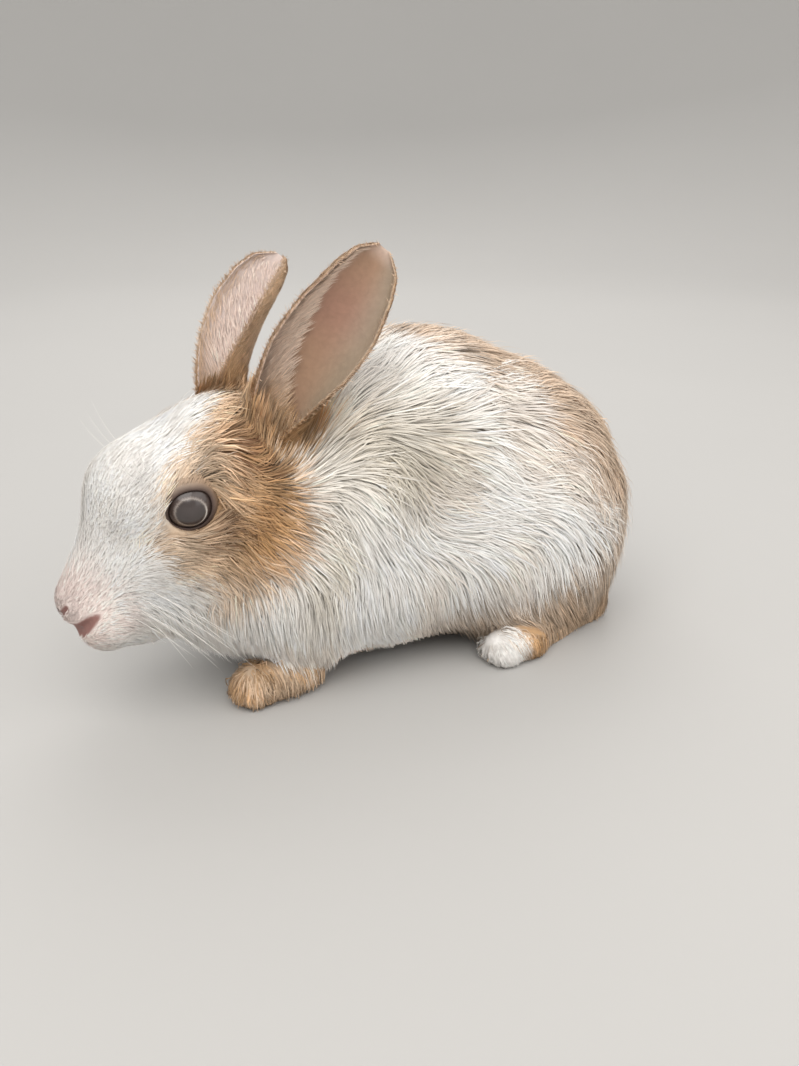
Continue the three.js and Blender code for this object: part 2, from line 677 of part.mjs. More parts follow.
function makeHead() {
  let head = coated(fieldSolid(core, HEAD_LOW, HEAD_HIGH, HEAD_CELL));
  for (const side of Object.keys(SIDES)) {
    const eye = eyePlace(side).toArray();
    const lids = Array(3).fill(EYE_RADIUS + LID_THICKNESS);
    const ball = Array(3).fill(EYE_RADIUS);
    head = head.add(ballSolid(eye, lids, 0, EYE_ROWS));
    head = head.subtract(lidOpening(side)).subtract(ballSolid(eye, ball, GAP, EYE_ROWS));
    head = head.subtract(earSolid(side, GAP));
  }
  for (const [groove, sign] of [[NOSTRIL, 1], [NOSTRIL, -1], [PHILTRUM, 1], [MOUTH, 1]]) {
    head = head.subtract(grooveSolid(groove, sign));
  }
  return head.intersect(halfSpace(HEAD_BACK, -GAP / 2)).intersect(halfSpace(HEAD_BELOW, -GAP / 2));
}

// The head's part of space, grown, for its neighbours to keep clear of.
const headSpace = halfSpace(HEAD_BACK, GAP / 2).intersect(halfSpace(HEAD_BELOW, GAP / 2));
const body = fieldSolid(trunkCore, BODY_LOW, BODY_HIGH, BODY_CELL).intersect(floor);
const locks = growLocks();
const coatedBody = coated(body);

// Each limb's part of space, on one side, grown or shrunk by the clearance.
const limbSpaces = {
  foreleg: (side, clearance) => {
    const cut = { ...FORELEG_CUT };
    cut.from = [cut.from[0] + FORELEG_SETBACK[side], cut.from[1], cut.from[2]];
    cut.to = [cut.to[0] + FORELEG_SETBACK[side], cut.to[1], cut.to[2]];
    return capsuleSolid(cut, side, clearance);
  },
  forepaw: (side, clearance) => {
    const cut = { ...FOREPAW_CUT };
    cut.from = [cut.from[0] + FORELEG_SETBACK[side], cut.from[1], cut.from[2]];
    cut.to = [cut.to[0] + FORELEG_SETBACK[side], cut.to[1], cut.to[2]];
    return capsuleSolid(cut, side, clearance).subtract(above(FOREPAW_TOP + clearance));
  },
  haunch: (side, clearance) => ballSolid(mirrored(HAUNCH_CUT.at, side), HAUNCH_CUT.radii, clearance),
  hind_foot: (side, clearance) => massesSolid(hindFootMasses(side), clearance),
};

const tailSpace = (clearance) => ballSolid(TAIL_CUT.at, TAIL_CUT.radii, clearance);

// The tail keeps only the locks that root on it.
function makeTail() {
  const onTail = (root) => ballDistance(root, TAIL_CUT.at, TAIL_CUT.radii) < 0;
  return coated(legSolid(TAIL).add(body), onTail).intersect(tailSpace(-GAP / 2));
}

function makeTorso() {
  let torso = coatedBody.intersect(halfSpace(TORSO_FRONT, -GAP / 2)).subtract(tailSpace(GAP / 2));
  for (const side of Object.keys(SIDES)) {
    for (const space of Object.values(limbSpaces)) torso = torso.subtract(space(side, GAP / 2));
  }
  return torso;
}

function makeNeck() {
  let neck = coatedBody.subtract(headSpace).subtract(halfSpace(TORSO_FRONT, GAP / 2));
  for (const side of Object.keys(SIDES)) {
    neck = neck.subtract(limbSpaces.foreleg(side, GAP / 2)).subtract(limbSpaces.forepaw(side, GAP / 2));
  }
  return neck;
}

// The form that some masses make alone, grown by the clearance.
function massesSolid(masses, clearance) {
  const ends = masses.flatMap(({ at, radii, from, to, ends: r }) =>
    at ? [{ at, r: Math.max(...radii) }] : [{ at: from, r: r[0] }, { at: to, r: r[1] }],
  );
  const low = [0, 1, 2].map((k) => Math.min(...ends.map(({ at, r }) => at[k] - r)) - FOOT_CELL);
  const high = [0, 1, 2].map((k) => Math.max(...ends.map(({ at, r }) => at[k] + r)) + FOOT_CELL);
  return fieldSolid((p) => massesDistance(p, masses) - clearance, low, high, FOOT_CELL);
}

// The bare leg or foot of a limb, standing on the floor.
const legSolid = (masses) => massesSolid(masses, 0).intersect(floor);

// A limb keeps what lies in its own space and outside the spaces of the limbs named after it.
function makeLimb(name, side, masses, others) {
  let limb = masses ? body.add(legSolid(masses(side))) : coatedBody;
  limb = limb.intersect(limbSpaces[name](side, -GAP / 2)).subtract(headSpace);
  for (const other of others) limb = limb.subtract(limbSpaces[other](side, GAP / 2));
  return limb;
}

const FUR_WHITE = 0xece5da;
const FUR_FAWN = 0xc9a37c;
const EAR_SKIN = 0xd9b49c;
const EYE_DARK = 0x3a3633;

const coat = (color) => ({ color, roughness: 0.9, metalness: 0 });
const nodes = [];
const addNode = (name, solid, look) => nodes.push({ name, solid: largest(solid), look });

addNode("head", makeHead(), coat(FUR_WHITE));
addNode("neck", makeNeck(), coat(FUR_WHITE));
addNode("torso", makeTorso(), coat(FUR_WHITE));
addNode("tail", makeTail(), coat(FUR_WHITE));
for (const side of Object.keys(SIDES)) {
  addNode(`ear_${side}`, earSolid(side, 0), { color: EAR_SKIN, roughness: 0.7, metalness: 0 });
  const ball = ballSolid(eyePlace(side).toArray(), Array(3).fill(EYE_RADIUS), 0, EYE_ROWS);
  addNode(`eye_${side}`, ball, { color: EYE_DARK, roughness: 0.1, metalness: 0 });
  addNode(`foreleg_${side}`, makeLimb("foreleg", side, forelegMasses, ["forepaw"]), coat(FUR_FAWN));
  addNode(`forepaw_${side}`, makeLimb("forepaw", side, forelegMasses, []), coat(FUR_FAWN));
  addNode(`haunch_${side}`, makeLimb("haunch", side, null, ["hind_foot"]), coat(FUR_WHITE));
  addNode(`hind_foot_${side}`, makeLimb("hind_foot", side, hindFootMasses, []), coat(FUR_WHITE));
}

// The origin goes to the middle of the footprint, on the floor.
const box = new THREE.Box3();
for (const { solid } of nodes) {
  const { min, max } = solid.boundingBox();
  box.expandByPoint(vector(min)).expandByPoint(vector(max));
}
const shift = box.getCenter(new THREE.Vector3()).negate().setZ(-box.min.z);

const rabbit = new THREE.Group();
for (const { name, solid, look } of nodes) {
  const geometry = geometryOf(settled(solid, shift));
  geometry.computeVertexNormals();
  const mesh = new THREE.Mesh(geometry, new THREE.MeshStandardMaterial(look));
  mesh.name = name;
  rabbit.add(mesh);
}

export default rabbit;
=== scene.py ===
# A young long-coated rabbit crouching on all fours, life size: one skin, its coat, ears, eyes, lids,
# claws and whiskers. Shapes are worked out in millimetres in the body's own frame, where the nose points
# along -X and the rabbit's left side faces -Y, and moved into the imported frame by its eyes.
from itertools import product
from math import cos, pi, radians, sin

import bpy
import numpy as np
from mathutils import Matrix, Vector
from mathutils.kdtree import KDTree


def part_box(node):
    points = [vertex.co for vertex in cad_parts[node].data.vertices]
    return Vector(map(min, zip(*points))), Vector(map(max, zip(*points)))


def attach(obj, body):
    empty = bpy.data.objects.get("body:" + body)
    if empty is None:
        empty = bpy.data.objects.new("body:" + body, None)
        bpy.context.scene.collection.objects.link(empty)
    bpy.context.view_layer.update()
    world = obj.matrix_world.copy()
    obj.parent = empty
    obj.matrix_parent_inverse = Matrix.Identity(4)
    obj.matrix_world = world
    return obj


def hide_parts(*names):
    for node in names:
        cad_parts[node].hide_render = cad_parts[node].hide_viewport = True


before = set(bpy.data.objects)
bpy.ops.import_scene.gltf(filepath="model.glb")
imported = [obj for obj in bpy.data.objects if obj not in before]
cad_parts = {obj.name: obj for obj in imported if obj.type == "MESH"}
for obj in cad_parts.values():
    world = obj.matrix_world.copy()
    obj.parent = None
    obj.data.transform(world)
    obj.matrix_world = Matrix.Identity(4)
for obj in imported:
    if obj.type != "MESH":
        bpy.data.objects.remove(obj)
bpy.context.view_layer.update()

MM = 0.001
SIDES = {"left": -1, "right": 1}

# Head frame: u runs forward to the nose, v to the rabbit's left, w up to the crown.
HEAD_CENTRE = np.array((-66.0, -5.0, 74.0))
HEAD_SCALE = 1.15
HEAD_PITCH = radians(43)
HEAD_YAW = radians(1)
FORWARD = np.array(
    (-cos(HEAD_YAW) * cos(HEAD_PITCH), sin(HEAD_YAW) * cos(HEAD_PITCH), -sin(HEAD_PITCH))
)
LEFTWARD = np.cross((0, 0, 1), FORWARD) / np.linalg.norm(np.cross((0, 0, 1), FORWARD))
CROWNWARD = np.cross(FORWARD, LEFTWARD)
HEAD_AXES = np.array((FORWARD, LEFTWARD, CROWNWARD))

# Masses of the body, out to the tips of the coat. A paired mass stands on both sides.
TORSO = [
    dict(at=(-24, 0, 50), radii=(34, 36, 40)),
    dict(at=(28, 0, 68), radii=(58, 44, 52), blend=18),
    dict(at=(73, 0, 54), radii=(45, 45, 46), blend=18),
    dict(at=(14, 0, 36), radii=(62, 41, 33), blend=14),
    dict(at=(-46, 0, 46), radii=(22, 27, 30), blend=14),
    dict(at=(64, 27, 41), radii=(45, 23, 36), blend=14, paired=True),
    dict(at=(72, 31, 23), radii=(33, 15, 20), blend=10, paired=True),
    dict(at=(-26, 24, 42), radii=(22, 15, 32), blend=12, paired=True),
]
NECK = [
    dict(ends=((-44, 0, 72), (-8, 0, 66)), radii=(26, 38)),
    dict(ends=((-72, -3, 41), (-44, 0, 40)), radii=(16, 26), blend=12),
]
TAIL = [dict(at=(114, 0, 45), radii=(14, 11, 14))]
HEAD = [
    dict(at=(-11, 0, -3), radii=(27, 22, 17.5)),
    dict(at=(4.5, 0, 5.5), radii=(14.3, 15, 16), blend=10),
    dict(ends=((4, 0, 0), (34, 0, -6)), radii=(16.5, 10), blend=8),
    dict(ends=((0, 0, 7), (37, 0, -1)), radii=(10, 7), blend=6),
    dict(at=(-7, 12.5, -14), radii=(20, 12, 17), blend=8, paired=True),
    dict(at=(35.5, 6, -9.5), radii=(10.5, 7.5, 9), blend=6, paired=True),
    dict(at=(-1, 13.5, 8), radii=(12, 6.5, 5), blend=8, paired=True),
    dict(at=(7, 11, -7), radii=(19, 8.5, 10), blend=10, paired=True),
    dict(ends=((24, 4, -16.5), (-6, 11, -22)), radii=(8.5, 12), blend=8, paired=True),
    dict(at=(31, 0, -18.5), radii=(10.5, 8, 6.5), blend=4),
]
FORELEG_SETBACK = {"left": 0, "right": 14}

# Eyes and their almond openings.
EYE_AT = (-3, 17, 1.5)
EYE_RADIUS = 8.2
CORNEA_BULGE = 0.35
LID_HALF_LENGTH = 6.5
LID_HALF_HEIGHT = 6.2

# Ears: a cupped blade along a curved spine, which opens one way at its root and another at its tip. Its
# half width and half opening angle are given at shares of its length, and it is thicker along its middle
# than at its rim. The front margin is at -1 or 1 across it.
EARS = {
    "left": dict(
        spine=((-33, -12, 81), (-27, -16, 104), (-14, -24, 127), (4.5, -25, 149)),
        opens=((-0.75, -0.6, 0.3), (-0.25, -0.95, 0.05)),
        front=-1,
    ),
    "right": dict(
        spine=((-38, 8, 82), (-35, 12, 106), (-27, 17, 126), (-12, 17, 143.5)),
        opens=((-0.95, 0, 0.2), (-0.9, -0.35, 0.1)),
        front=1,
    ),
}
EAR_SHARES = (0, 0.12, 0.3, 0.5, 0.7, 0.85, 0.94, 1)
EAR_HALF_WIDTHS = (10, 11.5, 14.5, 16.5, 16, 13, 9, 2)
EAR_HALF_ANGLES = (150, 125, 95, 75, 62, 52, 45, 40)
EAR_LENGTH = 75
EAR_RIM = 0.8
EAR_MIDDLE = 1.8
EAR_ROWS = 90
EAR_COLUMNS = 49

# The camera of the photograph, taken as 799 by 1066 pixels.
PHOTO_HEIGHT = 1066
FOCAL_PIXELS = 1000
SENSOR_WIDTH = 36
CAMERA_AZIMUTH = radians(-30)
CAMERA_ELEVATION = radians(22)
CAMERA_DISTANCE = 330
CAMERA_TARGET = np.array((0, -42, 60))

# Colours as they are seen, from 0 to 255.
WHITE = (249, 246, 242)
CREAM = (231, 217, 201)
PEACH = (211, 187, 163)
# Olive grey, painted as shade on the neck and under the jaw.
OLIVE_SHADE = (196, 184, 160)
CHEEK_TAN = (218.35, 195.55, 170.2)
RUMP_TAN = (196, 170.5, 143)
FAWN = (208, 178, 145)
TAUPE = (184, 163, 141)
GINGER = (192, 148, 98)
UMBER = (110, 76, 54)
PINK = (232, 202, 192)
# Bare pink skin, deepened as painted shade in the grooves of the nostrils, the cleft and the mouth.
GROOVE_SHADE_PINK = (142, 104, 97)

SEED = 11


def unit(vectors):
    vectors = np.asarray(vectors, float)
    return vectors / np.maximum(np.linalg.norm(vectors, axis=-1, keepdims=True), 1e-9)


def smooth(x, low, high):
    t = np.clip((x - low) / (high - low), 0, 1)
    return t * t * (3 - 2 * t)


def mix(a, b, t):
    return a + (b - a) * t


def along(vectors, normals):
    """The vectors laid along the surface that has these normals."""
    return unit(vectors - (vectors * normals).sum(-1, keepdims=True) * normals)


def turned(vectors, axes, angles):
    """Vectors square to their axes, turned about them."""
    angles = np.asarray(angles)[..., None]
    return vectors * np.cos(angles) + np.cross(axes, vectors) * np.sin(angles)


def linear(colour):
    """A colour as it is seen, from 0 to 255, as light."""
    c = np.asarray(colour, float) / 255
    return np.where(c <= 0.04045, c / 12.92, ((c + 0.055) / 1.055) ** 2.4)


def painted(colour, layers):
    """A colour, as light, under layers: each a colour as it is seen and its share at each point."""
    for shade, share in layers:
        colour = mix(colour, linear(shade), np.clip(share, 0, 1)[..., None])
    return colour


def ripple(p, size, seed, waves=9):
    """Smooth noise about 0, mostly within -1.5 to 1.5, in lumps of the given size."""
    draw = np.random.default_rng(seed)
    ways = unit(draw.normal(size=(waves, 3))) * draw.uniform(0.6, 1.5, (waves, 1)) * pi / size
    return np.sin(p @ ways.T + draw.uniform(0, 2 * pi, waves)).sum(1) / np.sqrt(waves / 2)


def to_head(p):
    return (p - HEAD_CENTRE) @ HEAD_AXES.T / HEAD_SCALE


def at_head(q):
    return HEAD_CENTRE + HEAD_SCALE * np.asarray(q, float) @ HEAD_AXES


# The body's form: distances from its blended masses, negative inside.
def ball_distance(p, at, radii):
    q = p - np.array(at, float)
    radii = np.array(radii, float)
    near = np.linalg.norm(q / radii, axis=1)
    return near * (near - 1) / np.maximum(np.linalg.norm(q / radii**2, axis=1), 1e-9)


def limb_distance(p, ends, radii):
    start, end = np.array(ends, float)
    reach = end - start
    share = np.clip((p - start) @ reach / (reach @ reach), 0, 1)
    return np.linalg.norm(p - start - share[:, None] * reach, axis=1) - mix(*radii, share)


def blended(a, b, blend):
    overlap = np.maximum(blend - np.abs(a - b), 0) / blend
    return np.minimum(a, b) - overlap * overlap * blend * 0.25


def masses_distance(p, masses):
    distance = None
    for mass in masses:
        for sign in (1, -1) if mass.get("paired") else (1,):
            q = p * (1, sign, 1)
            if "at" in mass:
                d = ball_distance(q, mass["at"], mass["radii"])
            else:
                d = limb_distance(q, mass["ends"], mass["radii"])
            distance = d if distance is None else blended(distance, d, mass["blend"])
    return distance


def legs_distance(p):
    distances = []
    for side, y in SIDES.items():
        x = FORELEG_SETBACK[side]
        foreleg = [
            dict(ends=((-24 + x, 20 * y, 36), (-28 + x, 21 * y, 11)), radii=(12, 8.5)),
            dict(at=(-38 + x, 22 * y, 7.2), radii=(17, 9.5, 8), blend=6),
        ]
        hind_foot = [
            dict(ends=((96, 27 * y, 8.3), (54, 40 * y, 7.4)), radii=(9, 8)),
            dict(at=(50, 41 * y, 7), radii=(13, 9.5, 7.5), blend=5),
        ]
        for spread in (-1, -0.33, 0.33, 1):
            toe = (-50 + x + 3 * abs(spread), (22 + 6 * spread) * y, 4.2)
            foreleg.append(dict(at=toe, radii=(6.5, 2.9, 4.2), blend=1.2))
            toe = (41 + 2.5 * abs(spread), (41.5 + 6 * spread) * y, 4.2)
            hind_foot.append(dict(at=toe, radii=(6.5, 2.9, 4.2), blend=1.2))
        distances += [masses_distance(p, foreleg), masses_distance(p, hind_foot)]
    return np.min(distances, axis=0)


# How far each part melts into the body.
NECK_BLEND = 14
HEAD_BLEND = 8
LEG_BLEND = 6
TAIL_BLEND = 5


def regions(p):
    """The outline's distance, and how far each point belongs to the head, the legs and the tail."""
    body = blended(masses_distance(p, TORSO), masses_distance(p, NECK), NECK_BLEND)
    head = masses_distance(to_head(p), HEAD) * HEAD_SCALE
    tail = masses_distance(p, TAIL)
    legs = legs_distance(p)
    trunk = blended(blended(body, head, HEAD_BLEND), tail, TAIL_BLEND)
    return dict(
        outline=blended(trunk, legs, LEG_BLEND),
        head=smooth(body - head, -8, 8),
        legs=smooth(trunk - legs, -2, 5),
        tail=smooth(body - tail, -3, 6),
    )


def coat_depth(p, region):
    """Depth of the coat over the skin: deepest on the body, least on the muzzle and the feet."""
    u, _, w = to_head(p).T
    cheek = mix(3.4, 0.8, smooth(u, -12, 16))
    face = np.minimum(cheek, mix(3.4, 1.3, smooth(w + 0.3 * u, 0, 8)))
    depth = mix(5.1, face, region["head"])
    depth = mix(depth, 4, region["tail"])
    return mix(depth, 0.9, region["legs"])


def eye_frame(side):
    """The eye's middle and its axes: forward along the lids, up, and out."""
    centre = at_head((EYE_AT[0], -EYE_AT[1] * SIDES[side], EYE_AT[2]))
    outward = unit(-SIDES[side] * LEFTWARD + 0.28 * FORWARD)
    forward = along(FORWARD, outward)
    upward = along(CROWNWARD, outward)
    return centre, forward, upward, outward


EYES = {side: eye_frame(side) for side in SIDES}
low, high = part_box("eye_left")
SHIFT = (np.array(low) + np.array(high)) / (2 * MM) - EYES["left"][0]


def polyline_distance(p, points, radii=(0, 0, 0)):
    """Distance from a line through the points, with its half width at each of them."""
    parts = zip(points, points[1:], radii, radii[1:])
    return np.min([limb_distance(p, (start, end), ends) for start, end, *ends in parts], axis=0)


def coated_skin(p):
    region = regions(p)
    return region["outline"] + coat_depth(p, region)


def surface_from(start, way, field):
    """Where a line from a point inside, given in the head frame, comes out of the field."""
    origin = at_head(start)
    ray = unit(np.asarray(way, float) @ HEAD_AXES)
    reach = np.arange(0, 60, 0.1)
    points = origin + reach[:, None] * ray
    return points[np.argmax(field(points) >= 0)]


# Grooves of the muzzle: nostrils and cleft by directions from its middle, the mouth by places in the head
# frame and its half height there.
MUZZLE_MIDDLE = (28, 0, -7)
NOSTRIL_WAYS = ((1, 0.1, 0.5), (1, 0.24, 0.6), (1, 0.36, 0.7))
CLEFT_WAYS = ((1, 0, 0.5), (1, 0, 0.34), (1, 0, 0.2))
MOUTH_POINTS = ((45.6, 0, -4.2), (43.6, 8.4, -3.4), (39.8, 10.9, -2.8), (36.2, 12.6, -2.8))
MOUTH_HALF_HEIGHTS = (1.4, 1.7, 1.1, 0.4)


def groove_points(ways, sign=1):
    return [surface_from(MUZZLE_MIDDLE, (u, v * sign, w), coated_skin) for u, v, w in ways]


NOSTRILS = [groove_points(NOSTRIL_WAYS, sign) for sign in (1, -1)]
CLEFT = groove_points(CLEFT_WAYS)


def mouth_distance(p):
    q = to_head(p)
    q[:, 1] = np.abs(q[:, 1])
    return polyline_distance(q, MOUTH_POINTS, MOUTH_HALF_HEIGHTS) * HEAD_SCALE


def skin_field(p):
    """The skin with its eye sockets, nostrils, cleft lip and mouth."""
    skin = coated_skin(p)
    for centre, _, _, outward in EYES.values():
        from_eye = np.linalg.norm(p - centre, axis=1)
        skin = blended(skin, from_eye - EYE_RADIUS - 0.3, 3)
        side = (p - centre) @ outward
        across = np.sqrt(np.maximum(from_eye**2 - side**2, 0))
        opening = np.maximum(across - LID_HALF_LENGTH - 0.9, EYE_RADIUS / 3 - side)
        skin = np.maximum(skin, -np.minimum(opening, from_eye - EYE_RADIUS + 0.8))
    for points, radius in [(NOSTRILS[0], 0.7), (NOSTRILS[1], 0.7), (CLEFT, 0.6)]:
        skin = -blended(-skin, polyline_distance(p, points) - radius, 0.8)
    return -blended(-skin, mouth_distance(p), 0.8)


def axis_lines(low, high, spans, step):
    """Grid lines from low to high, closer together inside the given spans."""
    lines = [low]
    while lines[-1] < high:
        steps = [s for start, end, s in spans if start <= lines[-1] < end]
        lines.append(lines[-1] + min(steps, default=step))
    return np.array(lines)


def grid_values(field, axes):
    """The field on a grid, worked out only near its surface, and coarsely elsewhere."""
    coarse_axes = [np.append(axis[::4], axis[-1]) for axis in axes]
    coarse = field(np.stack(np.meshgrid(*coarse_axes, indexing="ij"), -1).reshape(-1, 3))
    coarse = coarse.reshape([len(axis) for axis in coarse_axes])
    near = [np.clip((np.arange(len(axis)) + 2) // 4, 0, len(c) - 1) for axis, c in zip(axes, coarse_axes)]
    values = coarse[np.ix_(*near)]
    places = np.argwhere(np.abs(values) < 10)
    points = np.stack([axis[places[:, k]] for k, axis in enumerate(axes)], 1)
    values[tuple(places.T)] = np.concatenate([field(part) for part in np.array_split(points, 8)])
    return values


def surface_net(field, axes):
    """The surface of field(p) = 0: a point in each grid cell that it crosses, and a quad about each edge."""
    values = grid_values(field, axes)
    inside = values < 0
    counts = np.array(values.shape)
    corners = list(product((0, 1), repeat=3))
    windows = [inside[tuple(slice(c, n - 1 + c) for c, n in zip(corner, counts))] for corner in corners]
    filled = sum(window.astype(int) for window in windows)
    crossed = (filled > 0) & (filled < 8)
    cells = np.argwhere(crossed)
    index = np.full(crossed.shape, -1)
    index[crossed] = np.arange(len(cells))
    total = np.zeros((len(cells), 3))
    count = np.zeros((len(cells), 1))
    for a, b in product(corners, corners):
        if sum(b) - sum(a) != 1 or any(y < x for x, y in zip(a, b)):
            continue
        start = values[tuple((cells + a).T)]
        end = values[tuple((cells + b).T)]
        cut = (start < 0) != (end < 0)
        share = np.where(cut, start / np.where(cut, start - end, 1), 0)
        places = np.array(a) + share[:, None] * (np.array(b) - a)
        total += np.where(cut[:, None], places, 0)
        count += cut[:, None]
    places = cells + total / count
    points = np.stack([np.interp(places[:, k], np.arange(counts[k]), axes[k]) for k in range(3)], 1)
    quads = []
    for axis in range(3):
        first, second = [k for k in range(3) if k != axis]
        here = [slice(1, n - 1) for n in counts]
        here[axis] = slice(0, counts[axis] - 1)
        there = list(here)
        there[axis] = slice(1, counts[axis])
        a, b = inside[tuple(here)], inside[tuple(there)]
        for outward, edges in ((False, a & ~b), (True, ~a & b)):
            cell = np.argwhere(edges) + np.where(np.arange(3) == axis, 0, 1)
            ring = []
            for back_first, back_second in ((1, 1), (0, 1), (0, 0), (1, 0)):
                corner = cell.copy()
                corner[:, first] -= back_first
                corner[:, second] -= back_second
                ring.append(index[tuple(corner.T)])
            ring = np.stack(ring, 1)
            quads.append(ring[:, ::-1] if (axis == 1) != outward else ring)
    return points, np.concatenate(quads)


# The box round the rabbit that the coat's volumes fill, and the gap between their points.
VOLUME_LOW = (-126, -66, -8)
VOLUME_HIGH = (142, 66, 140)
VOLUME_STEP = 1.6


class Volume:
    """A field and its slope, kept on a grid and read between its points."""

    def __init__(self, field):
        axes = [np.arange(low, high, VOLUME_STEP) for low, high in zip(VOLUME_LOW, VOLUME_HIGH)]
        grid = np.stack(np.meshgrid(*axes, indexing="ij"), -1)
        values = field(grid.reshape(-1, 3)).reshape(grid.shape[:3])
        self.grid = np.stack([values, *np.gradient(values, VOLUME_STEP)], -1)

    def read(self, p):
        """Value, direction and steepness of the field at points."""
        q = (p - np.array(VOLUME_LOW)) / VOLUME_STEP
        cell = np.clip(np.floor(q), 0, np.array(self.grid.shape[:3]) - 2).astype(int)
        share = np.clip(q - cell, 0, 1)
        result = 0
        for corner in product((0, 1), repeat=3):
            weight = np.where(np.array(corner), share, 1 - share).prod(1)
            result = result + weight[:, None] * self.grid[tuple((cell + corner).T)]
        slope = np.maximum(np.linalg.norm(result[:, 1:], axis=1), 0.5)
        return result[:, 0], unit(result[:, 1:]), slope


# Markings and painted shade, the same for the skin and the coat: half widths of the saddle along x and of the
# blaze along u, and the place in the head frame, the size and the strength of each dark spot.
SADDLE_X = (-5, 5, 15, 35, 50, 65, 80, 95)
SADDLE_HALF_WIDTHS = (-6, 5, 13, 22, 27, 36, 48, 62)
BLAZE_U = (-25, -21, -16, -6, 2, 12)
BLAZE_HALF_WIDTHS = (-3, 4, 9.5, 15.5, 18.5, 24)
DARK_SPOTS = (
    ((-21, 18.5, 4), (6.5, 7, 3.8), 1.1),
    ((-29, 16, -3), (5, 6, 4), 0.9),
    ((-17.5, 22.5, -6), (5, 12, 3.4), 0.9),
    ((0, 24, -6.8), (8, 12, 2.8), 0.95),
    ((-12, 24.5, -9.5), (4.5, 12, 2.5), 0.6),
)


def spot(p, centre, radii):
    """A soft round patch about a point."""
    return np.exp(-(((p - np.array(centre)) / np.array(radii)) ** 2).sum(-1))


